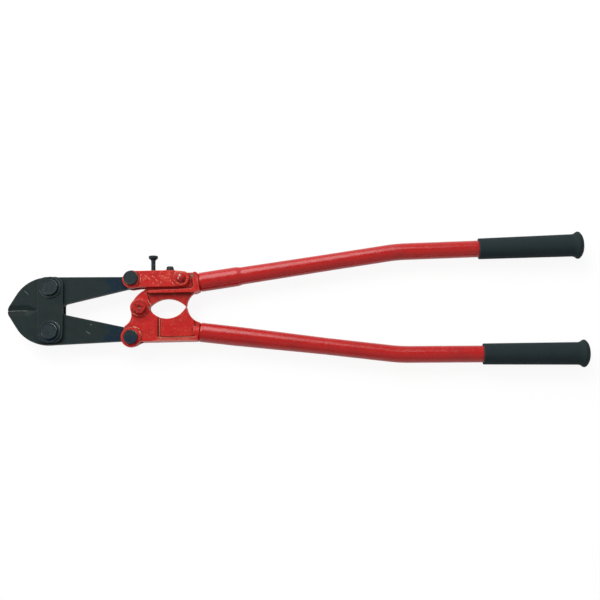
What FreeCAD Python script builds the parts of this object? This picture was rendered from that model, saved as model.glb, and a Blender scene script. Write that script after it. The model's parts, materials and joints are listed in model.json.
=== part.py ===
import FreeCAD, Part
import Sketcher
import math
import os

# Bolt cutters lying flat with the jaws closed.
# +X runs from the jaws to the grips, +Y is the side of the adjusting screw and +Z is up.
# The origin is on the centre pivot's axis, at the level that the tool rests on.
# "Reach" is a distance along X from the centre pivot, "spread" is a distance along Y from it,
# and levels are heights from the tool's mid-plane. Lengths are in millimetres, angles in degrees.

SIZES = {
    # where the pivots are
    "jaw_bolt_reach": 116.8,
    "jaw_bolt_spread": 29.0,
    "joint_reach": 11.0,
    "joint_spread": 38.8,
    "arm_pivot_reach": 54.5,
    "arm_pivot_spread": 37.8,
    "rest_height": 18.2,
    # clearances
    "slide_gap": 0.15,
    "pin_gap": 0.05,
    "seat_gap": 0.02,
    "stop_gap": 0.1,
    "edge_gap": 0.05,
    # blades
    "blade_thickness": 12.0,
    "jaw_tip_reach": 173.9,
    "upper_nose_radius": 9.0,
    "lower_nose_radius": 12.5,
    "nose_slope_angle": 58.0,
    "jaw_corner_radius": 48.0,
    "upper_jaw_back_spread": 43.6,
    "upper_tail_back_spread": 41.8,
    "lower_jaw_back_spread": 46.0,
    "lower_tail_back_spread": 42.9,
    "upper_heel_wrap_angle": 43.0,
    "lower_heel_wrap_angle": 39.5,
    "blade_eye_radius": 11.6,
    "joint_play": 3.65,
    "joint_slot_gap": 1.2,
    "bevel_width": 7.0,
    "edge_thickness": 6.5,
    "bevel_fade_gap": 2.3,
    "bevel_fade_length": 10.0,
    "blade_edge_round": 0.8,
    # straps and what bolts them
    "strap_thickness": 5.0,
    "strap_front_margin": 16.9,
    "strap_back_margin": 16.8,
    "strap_end_margin": 14.2,
    "strap_corner_radius": 11.0,
    "strap_edge_round": 0.7,
    "blade_bolt_radius": 7.0,
    "blade_thread_radius": 6.0,
    "blade_bolt_head_radius": 10.3,
    "blade_bolt_head_height": 3.4,
    "blade_washer_radius": 14.1,
    "blade_washer_thickness": 1.3,
    "lock_washer_radius": 10.6,
    "lock_washer_thickness": 1.6,
    "blade_nut_width": 19.0,
    "blade_nut_height": 4.4,
    "thread_tail": 0.7,
    "edge_break": 0.7,
    # joint bolts at the blades' eyes
    "joint_bolt_radius": 5.0,
    "joint_head_radius": 9.6,
    "joint_head_height": 3.8,
    "joint_nut_width": 16.0,
    "joint_nut_height": 4.0,
    # centre pivot
    "pivot_radius": 6.0,
    "pivot_head_width": 17.0,
    "pivot_head_height": 4.8,
    "pivot_dimple_radius": 3.0,
    "pivot_dimple_depth": 1.6,
    "pivot_washer_radius": 10.5,
    "pivot_washer_thickness": 1.0,
    "pivot_nut_height": 3.4,
    # both castings
    "lens_top_radius": 31.5,
    "lens_bottom_radius": 27.5,
    "lens_back_reach": 60.5,
    "nose_web": 0.7,
    "upper_bay_radius": 21.0,
    "lower_bay_radius": 26.0,
    "collar_radius": 12.9,
    "collar_root_radius": 11.2,
    "collar_length": 8.0,
    "shoulder_inset": 1.2,
    "neck_radius": 11.6,
    "neck_gap": 0.7,
    "spigot_radius": 10.45,
    "spigot_length": 44.0,
    "socket_run": 7.7,
    "socket_spread": 33.0,
    "cutter_overrun": 1.0,
    # lower casting, a fork
    "fork_slot_gap": 0.25,
    "fork_level": 11.5,
    "fork_boss_level": 13.0,
    "fork_disc_level": 12.3,
    "fork_slot_reach": 15.0,
    "fork_slot_margin": 1.3,
    "joint_boss_radius": 13.2,
    "joint_lobe_radius": 10.6,
    "lobe_bottom_angle": -55.0,
    "lobe_front_angle": 160.0,
    "saddle_lip_reach": 20.8,
    "saddle_lip_spread": 26.2,
    "saddle_low_reach": 18.8,
    "saddle_low_spread": 23.4,
    "saddle_high_reach": 10.6,
    "saddle_high_spread": 10.2,
    "saddle_radius": 16.0,
    "pivot_disc_radius": 12.3,
    "disc_front_angle": 205.0,
    "disc_top_angle": 100.0,
    "disc_lens_angle": -6.0,
    "pivot_boss_radius": 11.0,
    "casting_edge_spread": 44.6,
    "shoulder_run": 6.0,
    "panel_depth": 1.6,
    "groove_depth": 1.5,
    "groove_front_width": 2.9,
    "groove_edge_width": 1.6,
    "groove_back_width": 1.4,
    "panel_front_reach": 25.5,
    "panel_front_slant": 2.4,
    "panel_back_margin": 5.5,
    "panel_back_slant": 1.5,
    "panel_edge_spread": 41.6,
    "panel_corner_setback": 4.0,
    "panel_corner_radius": 4.2,
    "panel_wall_angle": 35.0,
    # upper casting, a web with a tongue
    "tongue_radius": 12.6,
    "tongue_lens_angle": 4.0,
    "tongue_bottom_angle": 250.0,
    "lobe_foot_angle": 166.0,
    "lobe_radius": 37.0,
    "lobe_top_reach": 6.2,
    "lobe_top_spread": 24.0,
    "web_top_spread": 40.0,
    "web_front_reach": 8.0,
    "web_front_spread": 27.4,
    "recess_depth": 1.6,
    "recess_top_reach": 8.7,
    "recess_low_reach": 15.2,
    "recess_low_spread": 3.0,
    "ridge_level": 12.0,
    "shelf_spread": 18.7,
    "shelf_height": 3.9,
    "shelf_rise": 1.1,
    "shelf_front_reach": 11.3,
    "shelf_corner_radius": 4.0,
    "shelf_end_run": 6.4,
    "arm_tail_gap": 5.2,
    "ear_front_reach": 57.8,
    "wall_back_length": 2.0,
    "wall_top_spread": 45.8,
    # adjusting arm
    "arm_level": 11.7,
    "arm_boss_radius": 11.2,
    "arm_boss_level": 12.9,
    "arm_top_spread": 48.6,
    "arm_bottom_spread": 26.8,
    "arm_nose_radius": 11.5,
    "arm_tail_radius": 10.6,
    "arm_tail_angle": 62.0,
    "arm_shoulder_reach": 42.0,
    "arm_bridge_front_reach": 2.5,
    "arm_bridge_back_reach": 56.6,
    "arm_bridge_thickness": 6.6,
    "rivet_radius": 5.0,
    "rivet_head_radius": 6.85,
    "rivet_head_height": 3.6,
    "rivet_ring_radius": 10.4,
    "rivet_ring_level": 12.7,
    "rivet_ring_trim": 8.4,
    # screws of the arm
    "screw_radius": 3.0,
    "screw_reach": 16.9,
    "screw_head_radius": 6.1,
    "screw_head_height": 3.2,
    "screw_head_taper": 2.6,
    "screw_top_spread": 69.5,
    "screw_tip_gap": 0.3,
    "screw_boss_radius": 3.7,
    "screw_boss_height": 1.5,
    "clamp_reach": 39.0,
    "clamp_top_spread": 54.8,
    "clamp_head_radius": 5.1,
    "clamp_crown_radius": 4.1,
    "clamp_head_gap": 0.45,
    "clamp_rim_height": 1.4,
    "clamp_tip_spread": 27.0,
    "clamp_slot_width": 1.3,
    "clamp_slot_depth": 1.6,
    "clamp_hole_gap": 0.6,
    "lock_plate_thickness": 1.0,
    "lock_plate_front_margin": 6.7,
    "lock_plate_length": 13.0,
    "lock_plate_width": 11.0,
    # handles
    "handle_splay_angle": 7.66,
    "grip_splay_angle": 0.9,
    "bend_run": 262.8,
    "bend_radius": 200.0,
    "grip_run": 108.6,
    "tube_radius": 11.1,
    "tube_wall": 2.3,
    "socket_radius": 12.8,
    "upper_socket_length": 50.0,
    "upper_step_length": 6.0,
    "upper_step_radius": 11.6,
    "lower_socket_length": 46.0,
    "swage_end": 165.0,
    "grip_length": 137.7,
    "grip_mouth_radius": 13.8,
    "grip_waist_radius": 14.8,
    "grip_waist_run": 122.0,
    "flange_radius": 18.1,
    "flange_run": 131.3,
    "flange_lip_radius": 3.5,
    "flange_lip_half": 2.6,
    "flange_flare_radius": 9.6,
    "grip_end_wall": 5.0,
    "grip_cap_radius": 10.5,
    "grip_dome_radius": 14.0,
}


class Size:
    """A length or angle that carries its value and the sheet expression that gives it."""

    def __init__(self, value, text):
        self.value = float(value)
        self.text = text

    def __add__(self, other):
        other = as_size(other)
        return Size(self.value + other.value, "(%s + %s)" % (self.text, other.text))

    def __sub__(self, other):
        other = as_size(other)
        return Size(self.value - other.value, "(%s - %s)" % (self.text, other.text))

    def __mul__(self, other):
        other = as_size(other)
        return Size(self.value * other.value, "(%s * %s)" % (self.text, other.text))

    def __truediv__(self, other):
        other = as_size(other)
        return Size(self.value / other.value, "(%s / %s)" % (self.text, other.text))

    def __rmul__(self, other):
        return as_size(other) * self

    def __radd__(self, other):
        return as_size(other) + self

    def __rsub__(self, other):
        return as_size(other) - self

    def __neg__(self):
        return Size(-self.value, "(-1 * %s)" % self.text)


def as_size(number):
    if isinstance(number, Size):
        return number
    return Size(number, "(%.9f)" % number)


def size(name):
    """The size of that name, as the sheet holds it."""
    return Size(SIZES[name], "sizes.%s" % name)


def sine(angle):
    angle = as_size(angle)
    return Size(math.sin(math.radians(angle.value)), "sin(%s)" % angle.text)


def cosine(angle):
    angle = as_size(angle)
    return Size(math.cos(math.radians(angle.value)), "cos(%s)" % angle.text)


def root(number):
    number = as_size(number)
    return Size(math.sqrt(number.value), "sqrt(%s)" % number.text)


def polar(centre, radius, angle):
    """The point on a circle at an angle counted from +X towards +Y."""
    return (centre[0] + radius * cosine(angle), centre[1] + radius * sine(angle))


def distance(first, second):
    return math.hypot(first[0].value - second[0].value, first[1].value - second[1].value)


doc = FreeCAD.newDocument("bolt_cutters")
sheet = doc.addObject("Spreadsheet::Sheet", "sizes")
for row, (alias, number) in enumerate(SIZES.items(), start=1):
    sheet.set("A%d" % row, alias)
    sheet.set("B%d" % row, str(number))
    sheet.setAlias("B%d" % row, alias)
doc.recompute()

parts = []


# ---------------------------------------------------------------- building blocks

def bind(thing, prop, value):
    """Set a property from a size and tie it to the sheet."""
    thing.setExpression(prop, as_size(value).text)


def place(body, x=0, y=0, turn=0):
    """Put a sub-part at x, y on the mid-plane, turned about the vertical."""
    upright = FreeCAD.Vector(0, 0, 1)
    body.Placement = FreeCAD.Placement(FreeCAD.Vector(0, 0, 0), FreeCAD.Rotation(upright, 1))
    bind(body, "Placement.Base.x", x)
    bind(body, "Placement.Base.y", y)
    bind(body, "Placement.Base.z", size("rest_height"))
    bind(body, "Placement.Rotation.Angle", turn)
    parts.append(body)


def place_along_y(body, x):
    """Put a screw that was built along its own Z so that it points along +Y."""
    sideways = FreeCAD.Rotation(FreeCAD.Vector(1, 0, 0), -90)
    body.Placement = FreeCAD.Placement(FreeCAD.Vector(0, 0, 0), sideways)
    bind(body, "Placement.Base.x", x)
    bind(body, "Placement.Base.z", size("rest_height"))
    parts.append(body)


def new_body(label):
    body = doc.addObject("PartDesign::Body", label)
    body.Label = label
    return body


def origin_plane(body, role):
    return [item for item in body.Origin.OriginFeatures if item.Role == role][0]


def attach(feature, body, role, lift=0):
    """Attach a sketch or primitive to one of the body's own planes, lifted off it."""
    feature.AttachmentSupport = [(origin_plane(body, role), "")]
    feature.MapMode = "FlatFace"
    bind(feature, "AttachmentOffset.Base.z", lift)


def arc_through(start, end, radius):
    """A minor arc. A positive radius turns left on the way, a negative one turns right."""
    turn = 1 if radius.value > 0 else -1
    span = distance(start, end)
    middle_x = (start[0].value + end[0].value) / 2
    middle_y = (start[1].value + end[1].value) / 2
    rise = math.sqrt(radius.value ** 2 - (span / 2) ** 2)
    centre_x = middle_x - turn * rise * (end[1].value - start[1].value) / span
    centre_y = middle_y + turn * rise * (end[0].value - start[0].value) / span
    angles = []
    for corner in (start, end):
        angles.append(math.atan2(corner[1].value - centre_y, corner[0].value - centre_x))
    if turn < 0:
        angles.reverse()
    centre = FreeCAD.Vector(centre_x, centre_y, 0)
    circle = Part.Circle(centre, FreeCAD.Vector(0, 0, 1), abs(radius.value))
    return Part.ArcOfCircle(circle, angles[0], angles[1])


def pin_coordinates(sketch, edge, end, x, y):
    for kind, value in (("DistanceX", x), ("DistanceY", y)):
        index = sketch.addConstraint(Sketcher.Constraint(kind, edge, end, value.value))
        sketch.setExpression("Constraints[%d]" % index, value.text)


def outline(body, name, corners, role="XY_Plane", lift=0):
    """A closed sketch. Each corner is x, y and, if an arc leads to the next one, its radius."""
    sketch = body.newObject("Sketcher::SketchObject", name)
    attach(sketch, body, role, lift)
    path = []
    for corner in corners:
        bulge = as_size(corner[2]) if len(corner) > 2 else None
        path.append((as_size(corner[0]), as_size(corner[1]), bulge))
    ends = []
    for index, corner in enumerate(path):
        following = path[(index + 1) % len(path)]
        if corner[2] is None:
            start = FreeCAD.Vector(corner[0].value, corner[1].value, 0)
            finish = FreeCAD.Vector(following[0].value, following[1].value, 0)
            sketch.addGeometry(Part.LineSegment(start, finish), False)
            ends.append((1, 2))
        else:
            sketch.addGeometry(arc_through(corner, following, corner[2]), False)
            ends.append((1, 2) if corner[2].value > 0 else (2, 1))
    for index, corner in enumerate(path):
        following = (index + 1) % len(path)
        joined = Sketcher.Constraint("Coincident", index, ends[index][1], following, ends[following][0])
        sketch.addConstraint(joined)
    for index, corner in enumerate(path):
        pin_coordinates(sketch, index, ends[index][0], corner[0], corner[1])
        if corner[2] is not None:
            bulge = corner[2] if corner[2].value > 0 else -corner[2]
            radius = sketch.addConstraint(Sketcher.Constraint("Radius", index, bulge.value))
            sketch.setExpression("Constraints[%d]" % radius, bulge.text)
    return sketch


def circles(body, name, rounds, role="XY_Plane", lift=0):
    """A sketch of whole circles, each given as x, y and radius."""
    sketch = body.newObject("Sketcher::SketchObject", name)
    attach(sketch, body, role, lift)
    for index, (x, y, radius) in enumerate(rounds):
        x, y, radius = as_size(x), as_size(y), as_size(radius)
        centre = FreeCAD.Vector(x.value, y.value, 0)
        sketch.addGeometry(Part.Circle(centre, FreeCAD.Vector(0, 0, 1), radius.value), False)
        pin_coordinates(sketch, index, 3, x, y)
        constraint = sketch.addConstraint(Sketcher.Constraint("Radius", index, radius.value))
        sketch.setExpression("Constraints[%d]" % constraint, radius.text)
    return sketch


def pad(body, sketch, length, midplane=True, reversed_side=False):
    feature = body.newObject("PartDesign::Pad", sketch.Name + "_pad")
    feature.Profile = sketch
    feature.Midplane = midplane
    feature.Reversed = reversed_side
    bind(feature, "Length", length)
    return feature


def pocket(body, sketch, length, midplane=True, reversed_side=False):
    feature = body.newObject("PartDesign::Pocket", sketch.Name + "_pocket")
    feature.Profile = sketch
    feature.Midplane = midplane
    feature.Reversed = reversed_side
    bind(feature, "Length", length)
    return feature


def revolve(body, sketch, axis):
    feature = body.newObject("PartDesign::Revolution", sketch.Name + "_turned")
    feature.Profile = sketch
    feature.ReferenceAxis = (sketch, [axis])
    feature.Angle = 360
    return feature


def turned(label, corners):
    """A body turned about its own Z from a half section of radius, level corners."""
    body = new_body(label)
    section = outline(body, label + "_section", corners, "XZ_Plane")
    revolve(body, section, "V_Axis")
    return body


def post(body, name, x, y, radius, start, length, turn, end_radius=None):
    """A cylinder, or a cone, that leaves x, y along the direction turn in the mid-plane."""
    kind = "Cylinder" if end_radius is None else "Cone"
    feature = body.newObject("PartDesign::Additive" + kind, name)
    feature.AttachmentSupport = [(origin_plane(body, "XY_Plane"), "")]
    feature.MapMode = "FlatFace"
    flat = FreeCAD.Rotation(FreeCAD.Vector(0, 0, 1), as_size(turn).value)
    level = FreeCAD.Rotation(FreeCAD.Vector(0, 1, 0), 90)
    feature.AttachmentOffset = FreeCAD.Placement(FreeCAD.Vector(0, 0, 0), flat.multiply(level))
    bind(feature, "AttachmentOffset.Base.x", x + start * cosine(turn))
    bind(feature, "AttachmentOffset.Base.y", y + start * sine(turn))
    if end_radius is None:
        bind(feature, "Radius", radius)
    else:
        bind(feature, "Radius1", radius)
        bind(feature, "Radius2", end_radius)
    bind(feature, "Height", length)
    return feature


def soften(body, radius, wanted):
    """Round the edges of the body's last feature that wanted() picks by its middle and ends."""
    doc.recompute()
    base = body.Tip
    names = []
    for number, edge in enumerate(base.Shape.Edges, start=1):
        middle = edge.valueAt((edge.FirstParameter + edge.LastParameter) / 2)
        ends = [vertex.Point for vertex in edge.Vertexes]
        if wanted(middle, ends):
            names.append("Edge%d" % number)
    feature = body.newObject("PartDesign::Fillet", body.Label + "_soft")
    feature.Base = (base, names)
    bind(feature, "Radius", radius)
    doc.recompute()
    return feature


# ---------------------------------------------------------------- places that pieces share

centre = (as_size(0), as_size(0))
blade_half = size("blade_thickness") / 2
slot_half = blade_half + size("fork_slot_gap")
strap_inner = blade_half + size("slide_gap")
strap_outer = strap_inner + size("strap_thickness")
strap_front_reach = size("jaw_bolt_reach") + size("strap_front_margin")
arm_pivot = (size("arm_pivot_reach"), size("arm_pivot_spread"))
wall_reach = size("arm_pivot_reach") + size("arm_tail_radius") + size("arm_tail_gap")
socket_reach = wall_reach + size("socket_run")
nose_reach = size("lens_back_reach") + size("nose_web")
through_all = 4 * size("rest_height")


def blade_bolt_place(side):
    return (-size("jaw_bolt_reach"), side * size("jaw_bolt_spread"))


def joint_place(side):
    return (-size("joint_reach"), side * size("joint_spread"))


def shoulder_corner(side, out):
    """The casting's end face, just beside the round collar, inside (-1) or outside (+1)."""
    run = -size("neck_gap")
    across = out * (size("collar_radius") - size("shoulder_inset"))
    along = cosine(size("handle_splay_angle"))
    rise = sine(size("handle_splay_angle"))
    x = socket_reach + run * along - across * rise
    y = size("socket_spread") + run * rise + across * along
    return (x, side * y)


# ---------------------------------------------------------------- blades

def blade_corners(side):
    """Outline of a blade: cutting edge, round heel, tapering tail, eye, back and blunt nose."""
    bolt = blade_bolt_place(1)
    eye = joint_place(1)
    eye_radius = size("blade_eye_radius")
    heel_radius = size("jaw_bolt_spread") - size("edge_gap")
    end = "upper" if side > 0 else "lower"
    heel_end = polar(bolt, heel_radius, size(end + "_heel_wrap_angle") - 90)
    reach = distance(heel_end, eye)
    aim = math.degrees(math.atan2(eye[1].value - heel_end[1].value, eye[0].value - heel_end[0].value))
    taper = aim - math.degrees(math.asin(eye_radius.value / reach))
    tail = polar(eye, eye_radius, taper - 90)
    jaw_back = size(end + "_jaw_back_spread")
    tail_back = size(end + "_tail_back_spread")
    drop = tail_back - eye[1]
    eye_back = eye[0] - root(eye_radius * eye_radius - drop * drop)
    nose = size(end + "_nose_radius")
    corner = size("jaw_corner_radius")
    slope = size("nose_slope_angle")
    nose_centre = (nose - size("jaw_tip_reach"), as_size(0))
    nose_end = polar(nose_centre, nose, 90 + slope)
    corner_end_spread = jaw_back - corner + corner * cosine(slope)
    corner_end_reach = nose_end[0] + (corner_end_spread - nose_end[1]) * cosine(slope) / sine(slope)
    corner_centre = (corner_end_reach + corner * sine(slope), jaw_back - corner)
    back_end = (eye_back, tail_back)
    run = distance(corner_centre, back_end)
    lean = math.degrees(math.atan2(back_end[1].value - corner_centre[1].value,
                                   back_end[0].value - corner_centre[0].value))
    corner_start = polar(corner_centre, corner, lean + math.degrees(math.acos(corner.value / run)))
    corners = [
        (nose_centre[0] - root(nose * nose - size("edge_gap") * size("edge_gap")), size("edge_gap")),
        (bolt[0], size("edge_gap"), heel_radius),
        heel_end,
        (tail[0], tail[1], eye_radius),
        (eye[0] + eye_radius, eye[1], eye_radius),
        back_end,
        (corner_start[0], corner_start[1], corner),
        (corner_end_reach, corner_end_spread),
        (nose_end[0], nose_end[1], nose),
    ]
    return [mirrored(corner, side) for corner in corners]


def mirrored(corner, side):
    if len(corner) == 2:
        return (corner[0], side * corner[1])
    return (corner[0], side * corner[1], side * corner[2])


def grind_bevel(body, side, face):
    """Grind one face down towards the cutting edge, fading out before the straps."""
    slope = (blade_half - size("edge_thickness") / 2) / size("bevel_width")
    over = size("cutter_overrun")
    fade = strap_front_reach + size("bevel_fade_gap")
    sections = []
    for name, reach, shrink in (
        ("tip", size("jaw_tip_reach") + over, 1.0),
        ("full", fade + size("bevel_fade_length"), 1.0),
        ("fade", fade, 0.12),
    ):
        depth = shrink * (blade_half - size("edge_thickness") / 2)
        low = blade_half - depth - slope * over
        width = shrink * size("bevel_width")
        corners = [
            (-side * over, face * low),
            (side * (width + over / slope), face * (blade_half + over)),
            (-side * over, face * (blade_half + over)),
        ]
        label = "%s_%s_%s" % (body.Label, name, "front" if face > 0 else "rear")
        sections.append(outline(body, label, corners, "YZ_Plane", -reach))
    feature = body.newObject("PartDesign::SubtractiveLoft", "%s_bevel_%d" % (body.Label, face + 1))
    feature.Profile = sections[0]
    feature.Sections = sections[1:]
    feature.Ruled = True
    return feature


def make_blade(end, side):
    label = end + "_blade"
    body = new_body(label)
    pad(body, outline(body, label + "_outline", blade_corners(side)), size("blade_thickness"))
    bolt = blade_bolt_place(side)
    bolt_bore = size("blade_bolt_radius") + size("pin_gap")
    pocket(body, circles(body, label + "_bore", [(bolt[0], bolt[1], bolt_bore)]), through_all)
    pocket(body, eye_opening(body, label, side), through_all)
    level = blade_half.value
    eye = joint_place(side)

    def outer_edge(middle, ends):
        flat = all(abs(abs(point.z) - level) < 1e-6 for point in ends + [middle])
        clear = abs(middle.y) > size("blade_edge_round").value
        in_bore = math.hypot(middle.x - bolt[0].value, middle.y - bolt[1].value) < bolt_bore.value + 1
        from_eye = math.hypot(middle.x - eye[0].value, middle.y - eye[1].value)
        at_eye = from_eye < 1.1 * size("blade_eye_radius").value
        return flat and clear and not in_bore and not at_eye

    soften(body, size("blade_edge_round"), outer_edge)
    for face in (1, -1):
        grind_bevel(body, side, face)
    place(body)
    return body


def eye_opening(body, label, side):
    """A round bore in the lower eye. The upper one is long, so that the arm can be set."""
    eye = joint_place(side)
    if side < 0:
        radius = size("joint_bolt_radius") + size("pin_gap")
        return circles(body, label + "_eye", [(eye[0], eye[1], radius)])
    radius = size("joint_bolt_radius") + size("joint_slot_gap")
    top = eye[1] + size("joint_play")
    bottom = eye[1] - size("joint_play")
    corners = [
        (eye[0] + radius, bottom),
        (eye[0] + radius, top, radius),
        (eye[0], top + radius, radius),
        (eye[0] - radius, top),
        (eye[0] - radius, bottom, radius),
        (eye[0], bottom - radius, radius),
    ]
    return outline(body, label + "_eye", corners)


# ---------------------------------------------------------------- straps and their fasteners

def make_strap(label, face):
    """A flat link plate with round corners on the front (+1) or back (-1) of both blades."""
    body = new_body(label)
    front = -strap_front_reach
    back = size("strap_back_margin") - size("jaw_bolt_reach")
    top = size("jaw_bolt_spread") + size("strap_end_margin")
    corner = size("strap_corner_radius")
    corners = [
        (front + corner, -top),
        (back - corner, -top, corner),
        (back, -top + corner),
        (back, top - corner, corner),
        (back - corner, top),
        (front + corner, top, corner),
        (front, top - corner),
        (front, -top + corner, corner),
    ]
    lift = strap_inner if face > 0 else -strap_inner
    plate = outline(body, label + "_outline", corners, lift=lift)
    pad(body, plate, size("strap_thickness"), midplane=False, reversed_side=face < 0)
    bore = size("blade_bolt_radius") + size("seat_gap")
    bolts = [blade_bolt_place(1), blade_bolt_place(-1)]
    pocket(body, circles(body, label + "_bores", [(x, y, bore) for x, y in bolts]), through_all)
    level = face * strap_outer.value

    def outer_edge(middle, ends):
        flat = abs(middle.z - level) < 1e-6 and all(abs(end.z - level) < 1e-6 for end in ends)
        in_bore = any(math.hypot(middle.x - x.value, middle.y - y.value) < bore.value + 1 for x, y in bolts)
        return flat and not in_bore

    soften(body, size("strap_edge_round"), outer_edge)
    place(body)
    return body


def washer(label, radius, bore, inner_level, thickness, x, y):
    """A flat ring that starts at inner_level and grows by thickness, down if that is negative."""
    body = turned(label, [
        (bore, inner_level),
        (radius, inner_level),
        (radius, inner_level + thickness),
        (bore, inner_level + thickness),
    ])
    place(body, x, y)
    return body


def hexagon(body, name, width, lift):
    corner = width / (2 * cosine(30))
    corners = [polar(centre, corner, 60 * step) for step in range(6)]
    return outline(body, name, corners, lift=lift)


def round_off_hexagon(body, name, width, level, outward):
    """Turn the corners of a hexagon's outer face down to a circle, as on a forged nut or head."""
    corner = width / (2 * cosine(30))
    flat = width / 2
    depth = (corner - flat) * 0.6
    section = outline(body, name, [
        (flat, level),
        (corner + flat * 0.1, level),
        (corner + flat * 0.1, level - outward * (depth + flat * 0.06)),
    ], "XZ_Plane")
    groove = body.newObject("PartDesign::Groove", name + "_groove")
    groove.Profile = section
    groove.ReferenceAxis = (section, ["V_Axis"])
    groove.Angle = 360
    return groove


def nut(label, width, bore, top, height, x, y):
    """A hexagon nut that hangs from the level top."""
    body = new_body(label)
    pad(body, hexagon(body, label + "_hexagon", width, top), height, midplane=False, reversed_side=True)
    pocket(body, circles(body, label + "_bore", [(0, 0, bore)]), through_all)
    round_off_hexagon(body, label + "_chamfer", width, top - height, -1)
    place(body, x, y)
    return body


def thread_end(radius, level):
    """The last corners of a bolt's half section, with its end chamfered."""
    edge = size("edge_break")
    return [(radius, level + edge), (radius - edge, level), (0, level)]


def make_blade_fasteners(name, side):
    x, y = blade_bolt_place(side)
    head_seat = strap_outer + size("blade_washer_thickness")
    head_top = head_seat + size("blade_bolt_head_height")
    head = size("blade_bolt_head_radius")
    edge = size("edge_break")
    nut_top = -strap_outer - size("lock_washer_thickness")
    nut_bottom = nut_top - size("blade_nut_height")
    thread = size("blade_thread_radius")
    step = -strap_outer + size("slide_gap")
    bolt = turned(name + "_bolt", [
        (0, head_top),
        (head - edge, head_top),
        (head, head_top - edge),
        (head, head_seat),
        (size("blade_bolt_radius"), head_seat),
        (size("blade_bolt_radius"), step),
        (thread, step),
    ] + thread_end(thread, nut_bottom - size("thread_tail")))
    place(bolt, x, y)
    ring_bore = size("blade_bolt_radius") + size("seat_gap")
    washer(name + "_washer", size("blade_washer_radius"), ring_bore, strap_outer,
           size("blade_washer_thickness"), x, y)
    thread_bore = thread + size("seat_gap")
    washer(name + "_lock_washer", size("lock_washer_radius"), thread_bore, -strap_outer,
           -size("lock_washer_thickness"), x, y)
    nut(name + "_nut", size("blade_nut_width"), thread_bore, nut_top, size("blade_nut_height"), x, y)


def make_joint_fasteners(name, side, boss_level):
    """A round-headed bolt through a blade's eye and the fork that holds it, with its nut."""
    x, y = joint_place(side)
    head = size("joint_head_radius")
    head_top = boss_level + size("joint_head_height")
    edge = size("edge_break")
    shank = size("joint_bolt_radius")
    nut_bottom = -boss_level - size("joint_nut_height")
    bolt = turned(name + "_bolt", [
        (0, head_top),
        (head - edge, head_top),
        (head, head_top - edge),
        (head, boss_level),
        (shank, boss_level),
    ] + thread_end(shank, nut_bottom - size("thread_tail")))
    place(bolt, x, y)
    nut(name + "_nut", size("joint_nut_width"), shank + size("seat_gap"), -boss_level,
        size("joint_nut_height"), x, y)


def make_centre_pivot():
    """The main pivot: a hexagon-headed bolt with a centre dimple, a washer and a nut."""
    level = size("fork_boss_level")
    shank = size("pivot_radius")
    width = size("pivot_head_width")
    top = level + size("pivot_head_height")
    body = new_body("centre_pivot_bolt")
    section = outline(body, "pivot_shank", [
        (0, level + size("pivot_head_height") / 2),
        (shank, level + size("pivot_head_height") / 2),
    ] + thread_end(shank, -size("rest_height")), "XZ_Plane")
    revolve(body, section, "V_Axis")
    pad(body, hexagon(body, "pivot_head", width, level), size("pivot_head_height"), midplane=False)
    round_off_hexagon(body, "pivot_chamfer", width, top, 1)
    dimple = outline(body, "pivot_dimple", [
        (0, top + size("cutter_overrun")),
        (size("pivot_dimple_radius"), top + size("cutter_overrun")),
        (size("pivot_dimple_radius"), top),
        (0, top - size("pivot_dimple_depth")),
    ], "XZ_Plane")
    groove = body.newObject("PartDesign::Groove", "pivot_dimple_groove")
    groove.Profile = dimple
    groove.ReferenceAxis = (dimple, ["V_Axis"])
    groove.Angle = 360
    place(body)
    bore = shank + size("seat_gap")
    washer("centre_pivot_washer", size("pivot_washer_radius"), bore, -level,
           -size("pivot_washer_thickness"), 0, 0)
    nut("centre_pivot_nut", width, bore, -level - size("pivot_washer_thickness"),
        size("pivot_nut_height"), 0, 0)


# ---------------------------------------------------------------- castings

def socket_posts(body, side):
    """The collar, the narrow neck and the spigot that goes up the handle tube."""
    turn = side * size("handle_splay_angle")
    x = socket_reach
    y = side * size("socket_spread")
    gap = size("neck_gap")
    collar = size("collar_length")
    name = body.Label
    post(body, name + "_collar", x, y, size("collar_root_radius"), -gap - collar, collar, turn,
         end_radius=size("collar_radius"))
    post(body, name + "_neck", x, y, size("neck_radius"), -gap - collar / 2, collar / 2 + 2 * gap, turn)
    post(body, name + "_spigot", x, y, size("spigot_radius"), -gap, size("spigot_length") + gap, turn)


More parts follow.
